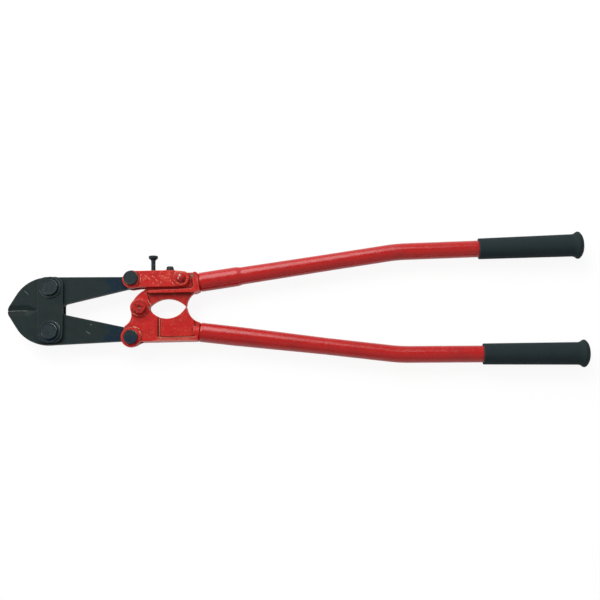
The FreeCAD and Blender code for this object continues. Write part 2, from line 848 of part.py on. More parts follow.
def make_lower_casting():
    """A fork: two cheeks hold the lower blade's eye and the upper casting's tongue."""
    label = "lower_handle_casting"
    body = new_body(label)
    joint = joint_place(-1)
    boss = size("joint_boss_radius")
    lobe = size("joint_lobe_radius")
    disc = size("pivot_disc_radius")
    gap = size("stop_gap")
    edge = -size("casting_edge_spread")
    lobe_exit = polar(joint, lobe, size("lobe_bottom_angle"))
    lobe_left = polar(joint, lobe, 180)
    lobe_entry = polar(joint, lobe, size("lobe_front_angle"))
    disc_left = polar(centre, disc, size("disc_front_angle"))
    disc_top = polar(centre, disc, size("disc_top_angle"))
    disc_right = polar(centre, disc, size("disc_lens_angle"))
    inner = shoulder_corner(-1, -1)
    outer = shoulder_corner(-1, 1)
    corners = [
        (nose_reach, -gap, size("lower_bay_radius")),
        inner,
        outer,
        (outer[0] - size("shoulder_run"), edge),
        (joint[0] + boss, edge),
        (lobe_exit[0], lobe_exit[1], -lobe),
        (lobe_left[0], lobe_left[1], -lobe),
        lobe_entry,
        (-size("saddle_lip_reach"), -size("saddle_lip_spread")),
        (-size("saddle_low_reach"), -size("saddle_low_spread"), size("saddle_radius")),
        (-size("saddle_high_reach"), -size("saddle_high_spread")),
        (disc_left[0], disc_left[1], -disc),
        (disc_top[0], disc_top[1], -disc),
        (disc_right[0], disc_right[1], size("lens_bottom_radius")),
        (size("lens_back_reach"), -gap),
    ]
    pad(body, outline(body, label + "_outline", corners), 2 * size("fork_level"))
    doc.recompute()
    for face in (1, -1):
        cut_panel(body, face)
    for face, radius in ((1, boss), (-1, lobe)):
        name = label + ("_front_boss" if face > 0 else "_rear_boss")
        pad(body, circles(body, name, [(joint[0], joint[1], radius)]), size("fork_boss_level"),
            midplane=False, reversed_side=face < 0)
    pad(body, circles(body, label + "_disc", [(0, 0, disc)]), 2 * size("fork_disc_level"))
    pad(body, circles(body, label + "_ring", [(0, 0, size("pivot_boss_radius"))]),
        2 * size("fork_boss_level"))
    socket_posts(body, -1)
    far = size("joint_reach") + 3 * boss
    slot = size("fork_slot_reach")
    margin = size("fork_slot_margin")
    pocket(body, outline(body, label + "_slot", [
        (slot, 2 * disc),
        (-far, 2 * disc),
        (-far, joint[1] - 2 * boss),
        (joint[0] + boss + margin, joint[1] - 2 * boss),
        (joint[0] + boss + margin, joint[1] + boss),
        (slot, -disc - margin),
    ]), 2 * slot_half)
    seat = size("seat_gap")
    pocket(body, circles(body, label + "_joint_bore",
                         [(joint[0], joint[1], size("joint_bolt_radius") + seat)]), through_all)
    pocket(body, circles(body, label + "_pivot_bore", [(0, 0, size("pivot_radius") + seat)]), through_all)
    place(body)
    return body


def panel_border(lead_front, lead_edge, lead_back, inside):
    """The panel's open outline, drawn in from its border by the leads, clockwise if inside."""
    front = size("panel_front_reach") + lead_front
    back = socket_reach - size("panel_back_margin") - lead_back
    edge = lead_edge - size("panel_edge_spread")
    setback = size("panel_corner_setback")
    bow = size("panel_corner_radius")
    above = size("lens_bottom_radius")
    foot = front - size("panel_front_slant")
    exit_reach = back + size("panel_back_slant")
    front_corner = [(foot, edge + setback), (foot + setback, edge)]
    back_corner = [(back - setback, edge), (back, edge + setback)]
    if inside:
        back_corner[1] += (-bow,)
        front_corner[1] += (-bow,)
    else:
        front_corner[0] += (bow,)
        back_corner[0] += (bow,)
    corners = [(front, above)] + front_corner + back_corner
    corners += [(exit_reach, -size("lower_bay_radius")), (exit_reach, above)]
    return corners[::-1] if inside else corners


def cut_panel(body, face):
    """Sink the panel between the lens opening and the rim, then a deeper groove along its border."""
    angle = size("panel_wall_angle")
    depth = size("panel_depth")
    lead = depth * sine(angle) / cosine(angle)
    end = "front" if face > 0 else "rear"
    border = panel_border(as_size(0), as_size(0), as_size(0), False)
    sketch = outline(body, "panel_" + end, border, lift=face * size("fork_level"))
    feature = pocket(body, sketch, depth, midplane=False, reversed_side=face < 0)
    bind(feature, "TaperAngle", angle)
    channel = panel_border(lead, lead, lead, False)
    channel += panel_border(lead + size("groove_front_width"), lead + size("groove_edge_width"),
                            lead + size("groove_back_width"), True)
    sketch = outline(body, "groove_" + end, channel, lift=face * (size("fork_level") - depth))
    pocket(body, sketch, size("groove_depth"), midplane=False, reversed_side=face < 0)


def make_upper_casting():
    """A web with a tongue for the fork, and a shelf and wall around the arm."""
    label = "upper_handle_casting"
    body = new_body(label)
    tongue = size("tongue_radius")
    gap = size("stop_gap")
    inner = shoulder_corner(1, -1)
    outer = shoulder_corner(1, 1)
    lobe_foot = polar(centre, tongue, size("lobe_foot_angle"))
    tongue_left = polar(centre, tongue, size("tongue_bottom_angle"))
    tongue_right = polar(centre, tongue, size("tongue_lens_angle"))
    web_top = size("web_top_spread")
    web_front = size("web_front_reach")
    ear_front = size("ear_front_reach")
    wall_back = outer[0] - size("wall_back_length")
    corners = [
        (nose_reach, gap),
        (size("lens_back_reach"), gap, size("lens_top_radius")),
        (tongue_right[0], tongue_right[1], -tongue),
        (tongue_left[0], tongue_left[1], -tongue),
        (lobe_foot[0], lobe_foot[1], -size("lobe_radius")),
        (size("lobe_top_reach"), size("lobe_top_spread")),
        (web_front, size("web_front_spread")),
        (web_front, web_top),
        (ear_front, web_top),
        (ear_front, size("wall_top_spread")),
        (wall_back, size("wall_top_spread")),
        outer,
        (inner[0], inner[1], size("upper_bay_radius")),
    ]
    pad(body, outline(body, label + "_outline", corners), size("blade_thickness"))
    doc.recompute()
    shelf = size("shelf_spread")
    shelf_top = shelf + size("shelf_height")
    front = size("shelf_front_reach")
    over = size("cutter_overrun")
    for face in (1, -1):
        recess = outline(body, "recess_front" if face > 0 else "recess_rear", [
            (size("recess_top_reach"), shelf + over),
            (size("recess_low_reach"), -size("recess_low_spread")),
            (wall_reach, -size("recess_low_spread")),
            (wall_reach + size("recess_low_spread"), shelf + over),
        ], lift=face * blade_half)
        pocket(body, recess, size("recess_depth"), midplane=False, reversed_side=face < 0)
    corner = size("shelf_corner_radius")
    half_shelf = size("shelf_height") / 2
    pad(body, outline(body, label + "_ridge", [
        (front + half_shelf, shelf),
        (inner[0] - size("shelf_end_run"), shelf),
        inner,
        outer,
        (wall_back, size("wall_top_spread")),
        (wall_reach, size("wall_top_spread")),
        (wall_reach, shelf_top + size("shelf_rise") + corner, -corner),
        (wall_reach - corner, shelf_top + size("shelf_rise")),
        (front + half_shelf, shelf_top, half_shelf),
        (front, shelf + half_shelf, half_shelf),
    ]), 2 * size("ridge_level"))
    socket_posts(body, 1)
    running = size("pivot_radius") + size("pin_gap")
    rivet = size("rivet_radius") + size("seat_gap")
    pocket(body, circles(body, label + "_pivot_bore", [(0, 0, running)]), through_all)
    pocket(body, circles(body, label + "_rivet_bore", [(arm_pivot[0], arm_pivot[1], rivet)]), through_all)
    tapped = size("screw_radius") + size("pin_gap")
    thread = circles(body, label + "_thread", [(size("clamp_reach"), 0, tapped)], "XZ_Plane", -web_top)
    depth = web_top - size("clamp_tip_spread") + over
    pocket(body, thread, depth, midplane=False, reversed_side=True)
    place(body)
    return body


# ---------------------------------------------------------------- adjusting arm and its screws

def make_arm():
    """A saddle over the web: two cheeks and a bridge that the screws go through."""
    label = "adjusting_arm"
    body = new_body(label)
    joint = joint_place(1)
    top = size("arm_top_spread")
    bottom = size("arm_bottom_spread")
    nose = size("arm_nose_radius")
    tail = size("arm_tail_radius")
    tail_centre = (arm_pivot[0], bottom + tail)
    tail_top = polar(tail_centre, tail, size("arm_tail_angle"))
    tail_right = polar(tail_centre, tail, 0)
    nose_centre = (joint[0], top - nose)
    nose_left = polar(nose_centre, nose, 180)
    corners = [
        (joint[0], nose_centre[1] - nose),
        (joint[0] + nose, bottom),
        (tail_centre[0], bottom, tail),
        (tail_right[0], tail_right[1], tail),
        tail_top,
        (size("arm_shoulder_reach"), top),
        (joint[0], top, nose),
        (nose_left[0], nose_left[1], nose),
    ]
    pad(body, outline(body, label + "_outline", corners), 2 * size("arm_level"))
    boss = size("arm_boss_radius")
    over = size("cutter_overrun")
    trim = size("rivet_ring_trim")
    ring = size("rivet_ring_radius")
    half_chord = root(ring * ring - trim * trim)
    pad(body, circles(body, label + "_boss", [(joint[0], nose_centre[1], boss)]), 2 * size("arm_boss_level"))
    pad(body, outline(body, label + "_ring", [
        (arm_pivot[0] - half_chord, arm_pivot[1] + trim, ring),
        (arm_pivot[0], arm_pivot[1] - ring, ring),
        (arm_pivot[0] + half_chord, arm_pivot[1] + trim),
    ]), 2 * size("rivet_ring_level"))
    screw = size("screw_reach")
    post_up(body, label + "_screw_boss", screw, top - over, size("screw_boss_radius"),
            size("screw_boss_height") + over)
    bridge_front = size("arm_bridge_front_reach")
    bridge_back = size("arm_bridge_back_reach")
    underside = top - size("arm_bridge_thickness")
    left = joint[0] - 2 * nose
    right = arm_pivot[0] + 2 * tail
    pocket(body, outline(body, label + "_slot", [
        (left, bottom - nose),
        (right, bottom - nose),
        (right, top + nose),
        (bridge_back, top + nose),
        (bridge_back, underside),
        (bridge_front, underside),
        (bridge_front, top + nose),
        (left, top + nose),
    ]), 2 * slot_half)
    pocket(body, circles(body, label + "_bores", [
        (joint[0], joint[1], size("joint_bolt_radius") + size("seat_gap")),
        (arm_pivot[0], arm_pivot[1], size("rivet_radius") + size("pin_gap")),
    ]), through_all)
    screws = circles(body, label + "_screw_bores", [
        (screw, 0, size("screw_radius") + size("pin_gap")),
        (size("clamp_reach"), 0, size("screw_radius") + size("clamp_hole_gap")),
    ], "XZ_Plane", over - underside)
    pocket(body, screws, size("arm_bridge_thickness") + size("screw_boss_height") + 2 * over,
           midplane=False)
    place(body)
    return body


def post_up(body, name, x, start, radius, length):
    """A cylinder on the mid-plane that leaves the level start along +Y."""
    feature = body.newObject("PartDesign::AdditiveCylinder", name)
    feature.AttachmentSupport = [(origin_plane(body, "XY_Plane"), "")]
    feature.MapMode = "FlatFace"
    sideways = FreeCAD.Rotation(FreeCAD.Vector(1, 0, 0), -90)
    feature.AttachmentOffset = FreeCAD.Placement(FreeCAD.Vector(0, 0, 0), sideways)
    bind(feature, "AttachmentOffset.Base.x", x)
    bind(feature, "AttachmentOffset.Base.y", start)
    bind(feature, "Radius", radius)
    bind(feature, "Height", length)
    return feature


def make_arm_rivet():
    """A pin with a domed head formed on each end."""
    shank = size("rivet_radius")
    head = size("rivet_head_radius")
    rise = size("rivet_head_height")
    seat = size("rivet_ring_level") + size("stop_gap")
    dome = (head * head + rise * rise) / (2 * rise)
    body = turned("arm_pivot_rivet", [
        (0, -seat - rise, dome),
        (head, -seat),
        (shank, -seat),
        (shank, seat),
        (head, seat, dome),
        (0, seat + rise),
    ])
    place(body, arm_pivot[0], arm_pivot[1])
    return body


def make_adjusting_screw():
    """The long screw with a flat round head and a tapered underside."""
    head = size("screw_head_radius")
    top = size("screw_top_spread")
    shank = size("screw_radius")
    edge = size("edge_break")
    under = top - size("screw_head_height")
    neck = under - size("screw_head_taper")
    tip = size("web_top_spread") + size("screw_tip_gap")
    body = turned("adjusting_screw", [
        (0, top),
        (head - edge, top),
        (head, top - edge),
        (head, under),
        (shank, neck),
    ] + thread_end(shank, tip))
    place_along_y(body, size("screw_reach"))
    return body


def make_clamp_screw():
    """The short screw with a slotted crowned head."""
    seat = size("arm_top_spread") + size("lock_plate_thickness") + size("clamp_head_gap")
    top = size("clamp_top_spread")
    shank = size("screw_radius")
    body = turned("clamp_screw", [
        (0, top),
        (size("clamp_crown_radius"), top),
        (size("clamp_head_radius"), seat + size("clamp_rim_height")),
        (size("clamp_head_radius"), seat),
        (shank, seat),
    ] + thread_end(shank, size("clamp_tip_spread")))
    wide = size("clamp_head_radius") * 2
    half = size("clamp_slot_width") / 2
    slot = outline(body, "clamp_slot", [
        (-wide, top - size("clamp_slot_depth")),
        (wide, top - size("clamp_slot_depth")),
        (wide, top + wide),
        (-wide, top + wide),
    ], "XZ_Plane")
    pocket(body, slot, 2 * half)
    place_along_y(body, size("clamp_reach"))
    return body


def make_lock_plate():
    """A thin plate under the clamp screw's head."""
    body = new_body("lock_plate")
    front = size("clamp_reach") - size("lock_plate_front_margin")
    back = front + size("lock_plate_length")
    half = size("lock_plate_width") / 2
    plate = outline(body, "lock_plate_outline", [
        (front, -half),
        (back, -half),
        (back, half),
        (front, half),
    ], "XZ_Plane", -size("arm_top_spread"))
    pad(body, plate, size("lock_plate_thickness"), midplane=False, reversed_side=True)
    bore = size("screw_radius") + size("clamp_hole_gap")
    hole = circles(body, "lock_plate_hole", [(size("clamp_reach"), 0, bore)], "XZ_Plane",
                   -size("arm_top_spread"))
    pocket(body, hole, through_all)
    place(body)
    return body


# ---------------------------------------------------------------- handles

def tube_walls(side):
    """Stations along a tube's straight run: distance from the socket and outer radius."""
    socket = size("socket_radius")
    plain = size("tube_radius")
    bend_start = size("bend_run") - bend_tangent()
    if side > 0:
        step = size("upper_socket_length") + size("upper_step_length")
        return [
            (size("neck_gap"), socket),
            (size("upper_socket_length"), socket),
            (step, size("upper_step_radius")),
            (size("swage_end"), plain),
            (bend_start, plain),
        ]
    return [
        (size("neck_gap"), socket),
        (size("lower_socket_length"), socket),
        (size("swage_end"), plain),
        (bend_start, plain),
    ]


def bend_tangent():
    half = (size("handle_splay_angle") - size("grip_splay_angle")) / 2
    return size("bend_radius") * sine(half) / cosine(half)


def make_tube(label, side):
    """A steel tube, wider at the casting, with one bend that brings the grips in line."""
    body = new_body(label)
    walls = tube_walls(side)
    wall = size("tube_wall")
    section = [(run, radius) for run, radius in walls]
    section += [(run, radius - wall) for run, radius in reversed(walls)]
    revolve(body, outline(body, label + "_walls", section), "H_Axis")
    bend = size("handle_splay_angle") - size("grip_splay_angle")
    bend_start = size("bend_run") - bend_tangent()
    radius = size("bend_radius")
    bend_end = (bend_start + radius * sine(bend), -side * radius * (1 - cosine(bend)))
    run = size("grip_run") + size("grip_length") - size("grip_end_wall") - size("slide_gap") * 2
    run = run - bend_tangent()
    tip = (bend_end[0] + run * cosine(bend), bend_end[1] - side * run * sine(bend))
    ring = circles(body, label + "_ring", [
        (0, 0, size("tube_radius")),
        (0, 0, size("tube_radius") - wall),
    ], "YZ_Plane", bend_start)
    route = body.newObject("Sketcher::SketchObject", label + "_route")
    attach(route, body, "XY_Plane")
    start = (as_size(bend_start), as_size(0))
    route.addGeometry(arc_through(start, bend_end, -side * radius), False)
    first, last = (2, 1) if side > 0 else (1, 2)
    line = Part.LineSegment(FreeCAD.Vector(bend_end[0].value, bend_end[1].value, 0),
                            FreeCAD.Vector(tip[0].value, tip[1].value, 0))
    route.addGeometry(line, False)
    route.addConstraint(Sketcher.Constraint("Coincident", 0, last, 1, 1))
    pin_coordinates(route, 0, first, start[0], start[1])
    pin_coordinates(route, 1, 1, bend_end[0], bend_end[1])
    pin_coordinates(route, 1, 2, tip[0], tip[1])
    bow = route.addConstraint(Sketcher.Constraint("Radius", 0, radius.value))
    route.setExpression("Constraints[%d]" % bow, radius.text)
    doc.recompute()
    pipe = body.newObject("PartDesign::AdditivePipe", label + "_bend")
    pipe.Profile = ring
    pipe.Spine = (route, ["Edge1", "Edge2"])
    pipe.Mode = "Standard"
    place(body, socket_reach, side * size("socket_spread"), side * size("handle_splay_angle"))
    return body


def make_grip(label, side):
    """A rubber sleeve that thickens towards a flared flange and a closed, domed end."""
    body = new_body(label)
    bore = size("tube_radius") + size("seat_gap")
    mouth = size("grip_mouth_radius")
    end = size("grip_length")
    flange = size("flange_radius")
    crest = size("flange_run")
    lip = size("flange_lip_radius")
    half = size("flange_lip_half")
    lip_drop = lip - root(lip * lip - half * half)
    edge = size("edge_break")
    inner_end = end - size("grip_end_wall")
    section = [
        (0, bore),
        (0, mouth - edge),
        (edge, mouth),
        (size("grip_waist_run"), size("grip_waist_radius"), size("flange_flare_radius")),
        (crest - half, flange - lip_drop, -lip),
        (crest + half, flange - lip_drop, -size("grip_dome_radius")),
        (end, size("grip_cap_radius")),
        (end, 0),
        (inner_end, 0),
        (inner_end, bore),
    ]
    revolve(body, outline(body, label + "_section", section), "H_Axis")
    turn = side * size("grip_splay_angle")
    x = socket_reach + size("bend_run") * cosine(size("handle_splay_angle"))
    x = x + size("grip_run") * cosine(size("grip_splay_angle"))
    y = size("socket_spread") + size("bend_run") * sine(size("handle_splay_angle"))
    y = y + size("grip_run") * sine(size("grip_splay_angle"))
    place(body, x, side * y, turn)
    return body


# ---------------------------------------------------------------- the whole tool

make_blade("upper", 1)
make_blade("lower", -1)
make_strap("front_strap", 1)
make_strap("back_strap", -1)
make_blade_fasteners("upper_blade", 1)
make_blade_fasteners("lower_blade", -1)
make_joint_fasteners("upper_joint", 1, size("arm_boss_level"))
make_joint_fasteners("lower_joint", -1, size("fork_boss_level"))
make_centre_pivot()
make_lower_casting()
make_upper_casting()
make_arm()
make_arm_rivet()
make_adjusting_screw()
make_clamp_screw()
make_lock_plate()
make_tube("upper_handle_tube", 1)
make_tube("lower_handle_tube", -1)
make_grip("upper_grip", 1)
make_grip("lower_grip", -1)
doc.recompute()

faults = []
for item in doc.Objects:
    if "Invalid" in item.State or "Error" in item.State:
        faults.append("%s is in state %s" % (item.Label, item.State))
for item in parts:
    if item.Shape.isNull() or not item.Shape.isValid():
        faults.append("%s has no valid shape" % item.Label)
if faults:
    raise RuntimeError("; ".join(faults))

os.makedirs("parts", exist_ok=True)
for item in parts:
    item.Shape.exportStep(os.path.join("parts", item.Label + ".step"))
    print("%-28s %10.1f mm3, %d solid" % (item.Label, item.Shape.Volume, len(item.Shape.Solids)))
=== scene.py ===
"""Bolt cutters lying closed on a white floor, seen from above.

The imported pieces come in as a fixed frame. Forged and cast pieces are remade from their own
solids with worn edges and an uneven skin, turned pieces are remade as smooth lathe work, and
every piece gets a paint, oxide or rubber material built from nodes. Lengths are in millimetres
unless a name or a comment says otherwise, and MM turns them into the scene's metres.
"""

import json
import math
from collections import namedtuple

import bmesh
import bpy
import numpy as np
from mathutils import Matrix, Vector, noise

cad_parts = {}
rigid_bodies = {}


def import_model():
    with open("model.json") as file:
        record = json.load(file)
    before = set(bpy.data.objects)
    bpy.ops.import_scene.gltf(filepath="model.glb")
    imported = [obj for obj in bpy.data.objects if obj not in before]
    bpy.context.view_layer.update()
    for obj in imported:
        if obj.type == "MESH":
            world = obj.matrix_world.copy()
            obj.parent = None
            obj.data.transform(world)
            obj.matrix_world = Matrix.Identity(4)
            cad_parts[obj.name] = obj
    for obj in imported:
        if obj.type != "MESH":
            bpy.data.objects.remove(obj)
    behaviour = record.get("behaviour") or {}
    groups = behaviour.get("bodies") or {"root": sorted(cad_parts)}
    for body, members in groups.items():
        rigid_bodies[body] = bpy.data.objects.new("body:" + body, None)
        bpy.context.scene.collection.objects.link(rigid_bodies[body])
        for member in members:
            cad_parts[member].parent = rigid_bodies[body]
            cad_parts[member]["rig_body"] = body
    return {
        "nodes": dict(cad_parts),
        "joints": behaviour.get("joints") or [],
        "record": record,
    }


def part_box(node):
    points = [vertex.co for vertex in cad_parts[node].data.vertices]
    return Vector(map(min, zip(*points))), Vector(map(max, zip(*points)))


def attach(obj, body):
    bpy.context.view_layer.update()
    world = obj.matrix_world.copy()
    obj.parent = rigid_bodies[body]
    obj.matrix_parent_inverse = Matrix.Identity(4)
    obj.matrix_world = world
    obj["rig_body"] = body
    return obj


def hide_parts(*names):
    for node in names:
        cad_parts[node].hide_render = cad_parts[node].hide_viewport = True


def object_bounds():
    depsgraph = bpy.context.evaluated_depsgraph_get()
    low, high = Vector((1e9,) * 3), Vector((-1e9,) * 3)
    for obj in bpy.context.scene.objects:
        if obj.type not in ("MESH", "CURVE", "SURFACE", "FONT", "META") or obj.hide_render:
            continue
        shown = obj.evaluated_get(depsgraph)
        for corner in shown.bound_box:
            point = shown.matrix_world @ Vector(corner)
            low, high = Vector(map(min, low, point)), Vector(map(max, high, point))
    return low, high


MM = 0.001
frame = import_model()
cad_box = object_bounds()
scene = bpy.context.scene
nodes = frame["nodes"]
slots = {part["node"]: part["material_slot"] for part in frame["record"]["subparts"]}
places = {joint["name"]: Vector(joint["pos_m"]) for joint in frame["joints"] if "pos_m" in joint}
pivot = places["handle_pivot"]


def at(x, y):
    """A point of the tool's mid-plane, given in millimetres from the centre pivot."""
    return pivot + Vector((x * MM, y * MM, 0.0))


# ---------------------------------------------------------------- camera

LENS = 65.0
SENSOR = 36.0
DISTANCE = 1424.6
TILT = math.radians(8.0)
ROLL = math.radians(1.26)
AIM = at(209.6, 6.7)


def add_camera():
    """Looks down on the tool, leaning a little towards its lower handle."""
    data = bpy.data.cameras.new("camera")
    data.lens = LENS
    data.sensor_width = SENSOR
    camera = bpy.data.objects.new("camera", data)
    scene.collection.objects.link(camera)
    back = Vector((0.0, -math.sin(TILT), math.cos(TILT)))
    up = Vector((0.0, math.cos(TILT), math.sin(TILT)))
    right = Vector((1.0, 0.0, 0.0))
    turned_right = right * math.cos(ROLL) - up * math.sin(ROLL)
    turned_up = up * math.cos(ROLL) + right * math.sin(ROLL)
    columns = Matrix((turned_right, turned_up, back)).transposed()
    camera.matrix_world = Matrix.Translation(AIM + back * DISTANCE * MM) @ columns.to_4x4()
    scene.camera = camera


# ---------------------------------------------------------------- material tools

def tone(red, green, blue):
    """A colour in display steps of 0 to 255, as the linear values that a shader takes."""
    steps = [value / 255 for value in (red, green, blue)]
    linear = [v / 12.92 if v <= 0.04045 else ((v + 0.055) / 1.055) ** 2.4 for v in steps]
    return (*linear, 1.0)


# A scratch, a rub, a painted highlight or a painted shadow: its middle from the centre pivot, its
# direction in degrees, and its size.
Mark = namedtuple("Mark", "x y angle length width")

# Where a Mix node keeps its two inputs and its result for each type of data.
MIX_SOCKETS = {"FLOAT": (2, 3, 0), "RGBA": (6, 7, 2)}


class Finish:
    """A material and short calls that build its nodes. Noise sizes are in millimetres."""

    def __init__(self, name, colour, roughness, specular):
        self.material = bpy.data.materials.new(name)
        self.material.use_nodes = True
        self.tree = self.material.node_tree
        self.shader = self.tree.nodes["Principled BSDF"]
        self.feed("Specular IOR Level", specular)
        coordinates = self.add("ShaderNodeTexCoord").outputs
        self.place = coordinates["Object"]
        self.facing = coordinates["Normal"]
        self.wear = self.add("ShaderNodeAttribute", attribute_name="wear").outputs["Fac"]
        self.deep = self.add("ShaderNodeAttribute", attribute_name="deep").outputs["Fac"]
        self.colour = colour
        self.roughness = roughness
        self.normal = None

    def add(self, kind, **settings):
        node = self.tree.nodes.new(kind)
        for key, value in settings.items():
            setattr(node, key, value)
        return node

    def plug(self, socket, value):
        if isinstance(value, bpy.types.NodeSocket):
            self.tree.links.new(value, socket)
        else:
            socket.default_value = value

    def feed(self, name, value):
        self.plug(self.shader.inputs[name], value)

    def turned(self, angle=0.0, stretch=(1, 1, 1), centre=(0, 0, 0)):
        """Object coordinates about a centre, turned by an angle in the flat and stretched."""
        shift = self.add("ShaderNodeVectorMath", operation="SUBTRACT")
        self.plug(shift.inputs[0], self.place)
        self.plug(shift.inputs[1], centre)
        turn = self.add("ShaderNodeVectorRotate", rotation_type="Z_AXIS")
        self.plug(turn.inputs["Vector"], shift.outputs[0])
        self.plug(turn.inputs["Angle"], -math.radians(angle))
        scale = self.add("ShaderNodeVectorMath", operation="DIVIDE")
        self.plug(scale.inputs[0], turn.outputs[0])
        self.plug(scale.inputs[1], stretch)
        return scale.outputs[0]

    def axis(self, vector, index):
        """One coordinate of a vector: 0 along the tool, 1 across it, 2 up."""
        node = self.add("ShaderNodeSeparateXYZ")
        self.plug(node.inputs[0], vector)
        return node.outputs[index]

    def noise(self, size, detail=3.0, roughness=0.5, vector=None, warp=0.0):
        node = self.add("ShaderNodeTexNoise")
        self.plug(node.inputs["Vector"], self.place if vector is None else vector)
        self.plug(node.inputs["Scale"], 1 / (size * MM))
        self.plug(node.inputs["Detail"], detail)
        self.plug(node.inputs["Roughness"], roughness)
        self.plug(node.inputs["Distortion"], warp)
        return node.outputs["Fac"]

    def calculate(self, operation, first, second=0.0):
        node = self.add("ShaderNodeMath", operation=operation)
        self.plug(node.inputs[0], first)
        self.plug(node.inputs[1], second)
        return node.outputs[0]

    def sum(self, first, second):
        return self.calculate("ADD", first, second)

    def times(self, first, second):
        return self.calculate("MULTIPLY", first, second)

    def inverse(self, mask):
        return self.calculate("SUBTRACT", 1.0, mask)

    def size_of(self, value):
        return self.calculate("ABSOLUTE", value)

    def ragged(self, value, grain, span):
        """A value made uneven by a grain of 0 to 1, half the span to each side."""
        return self.sum(value, self.times(self.sum(grain, -0.5), span))

    def band(self, value, low, high, top=1.0):
        """0 below low, top above high, and a soft step between them."""
        node = self.add("ShaderNodeMapRange", interpolation_type="SMOOTHSTEP")
        for name, number in (("Value", value), ("From Min", low), ("From Max", high),
                             ("To Min", 0.0), ("To Max", top)):
            self.plug(node.inputs[name], number)
        return node.outputs["Result"]

    def near(self, value, half, soft):
        """1 where a value is within half of zero, fading out over soft."""
        return self.inverse(self.band(self.size_of(value), half * MM, (half + soft) * MM))

    def stroke(self, mark, soft):
        """A mask for one mark on the front, with a ragged outline that fades out over soft."""
        vector = self.turned(mark.angle, centre=at(mark.x, mark.y))
        along = self.near(self.axis(vector, 0), mark.length / 2, mark.length / 4)
        across = self.near(self.axis(vector, 1), mark.width / 2, soft)
        broken = self.band(self.noise(1.6, vector=vector), 0.38, 0.5)
        front = self.band(self.axis(self.facing, 2), 0.25, 0.5)
        return self.times(self.times(along, across), self.times(broken, front))

    def mix(self, data_type, mask, under, over):
        """Under where the mask is 0, over where it is 1."""
        node = self.add("ShaderNodeMix", data_type=data_type)
        first, second, result = MIX_SOCKETS[data_type]
        self.plug(node.inputs[0], mask)
        self.plug(node.inputs[first], under)
        self.plug(node.inputs[second], over)
        return node.outputs[result]

    def tint(self, mask, colour):
        """Lay a colour over what is there, where the mask is 1."""
        self.colour = self.mix("RGBA", mask, self.colour, colour)

    def mottle(self, colour, size, low, high, strength, **look):
        """Lay a colour in patches, where noise of a size rises from low to high."""
        self.tint(self.band(self.noise(size, **look), low, high, strength), colour)

    def strokes(self, marks, colour, soft=0.25):
        """Lay a colour along each of several marks."""
        for mark in marks:
            self.tint(self.stroke(mark, soft), colour)

    def gloss(self, mask, roughness):
        """Change the roughness where the mask is 1."""
        self.roughness = self.mix("FLOAT", mask, self.roughness, roughness)

    def bump(self, height, depth, strength):
        """Raise the surface by a height of 0 to 1 times depth."""
        node = self.add("ShaderNodeBump")
        self.plug(node.inputs["Strength"], strength)
        self.plug(node.inputs["Distance"], depth * MM)
        self.plug(node.inputs["Height"], height)
        if self.normal is not None:
            self.plug(node.inputs["Normal"], self.normal)
        self.normal = node.outputs["Normal"]

    def done(self):
        self.feed("Base Color", self.colour)
        self.feed("Roughness", self.roughness)
        self.feed("Normal", self.normal)
        return self.material


# ---------------------------------------------------------------- colours and marks

RED = tone(185, 19, 16)
TUBE_RED = tone(177, 9, 5)
BOLT_RED = tone(174, 24, 20)
DEEP_RED = tone(154, 16, 16)
# Dark red for painted shade in creases and concave corners.
CREASE_SHADE_RED = tone(92, 14, 14)
WORN_RED = tone(200, 62, 44)
RUN_RED = tone(196, 48, 34)
NICK_RED = tone(110, 30, 26)
# Pale red for rubbed paint and for painted highlights and glints.
PALE_RUB_AND_HIGHLIGHT = tone(218, 142, 112)
# Dark red for painted shade in recesses, with some grime.
GRIME_AND_SHADE = tone(76, 26, 22)
FLAKED_BROWN = tone(66, 30, 24)
RIM_BROWN = tone(62, 46, 40)
# Dark brown for painted shade in the corners of painted bolts.
CORNER_SHADE_BROWN = tone(52, 20, 18)
# Dark brown for the painted shadow on the rivet's dome.
SHADOW_BROWN = tone(60, 24, 22)
BARE_STEEL = tone(104, 98, 90)
GROUND_STEEL = tone(150, 156, 152)
# Bright steel for painted highlights on rims and on the rivet's dome, partly rubbed bare.
STEEL_RUB_AND_HIGHLIGHT = tone(176, 182, 180)
BLACK = tone(29, 41, 41)
DEEP_BLACK = tone(22, 33, 36)
BLUE_BLACK = tone(6, 34, 52)
BROWN_BLACK = tone(42, 43, 35)
# Near-black for painted shade in corners.
CORNER_SHADE_BLACK = tone(20, 28, 30)
# Darker black for the painted shade on the lower bevel.
BEVEL_SHADE_BLACK = tone(15, 24, 25)
WORN_BLACK = tone(84, 94, 94)
SCRATCHED_BLACK = tone(112, 116, 108)
BOLT_BLACK = tone(32, 44, 46)
DEEP_BOLT_BLACK = tone(18, 34, 42)
RUBBER = tone(36, 47, 49)
BLUE_RUBBER = tone(33, 44, 50)
PALE_RUBBER = tone(48, 60, 60)
DUSTY_RUBBER = tone(52, 62, 58)
RUBBED_RUBBER = tone(70, 82, 83)

# Pale strokes on the arm: painted highlights on the rims of its bosses, and slanting flecks that
# are rubbed paint and painted glints together.
ARM_RUBS_AND_HIGHLIGHTS = (
    Mark(1.5, 39.0, 82, 7.0, 0.7),
    Mark(9.0, 40.5, -40, 3.6, 0.5),
    Mark(13.5, 37.0, -42, 4.4, 0.5),
    Mark(18.5, 40.0, -35, 3.6, 0.5),
    Mark(23.0, 35.0, -45, 3.2, 0.5),
    Mark(30.0, 40.5, -40, 3.4, 0.5),
    Mark(44.5, 30.5, -52, 4.0, 0.6),
)
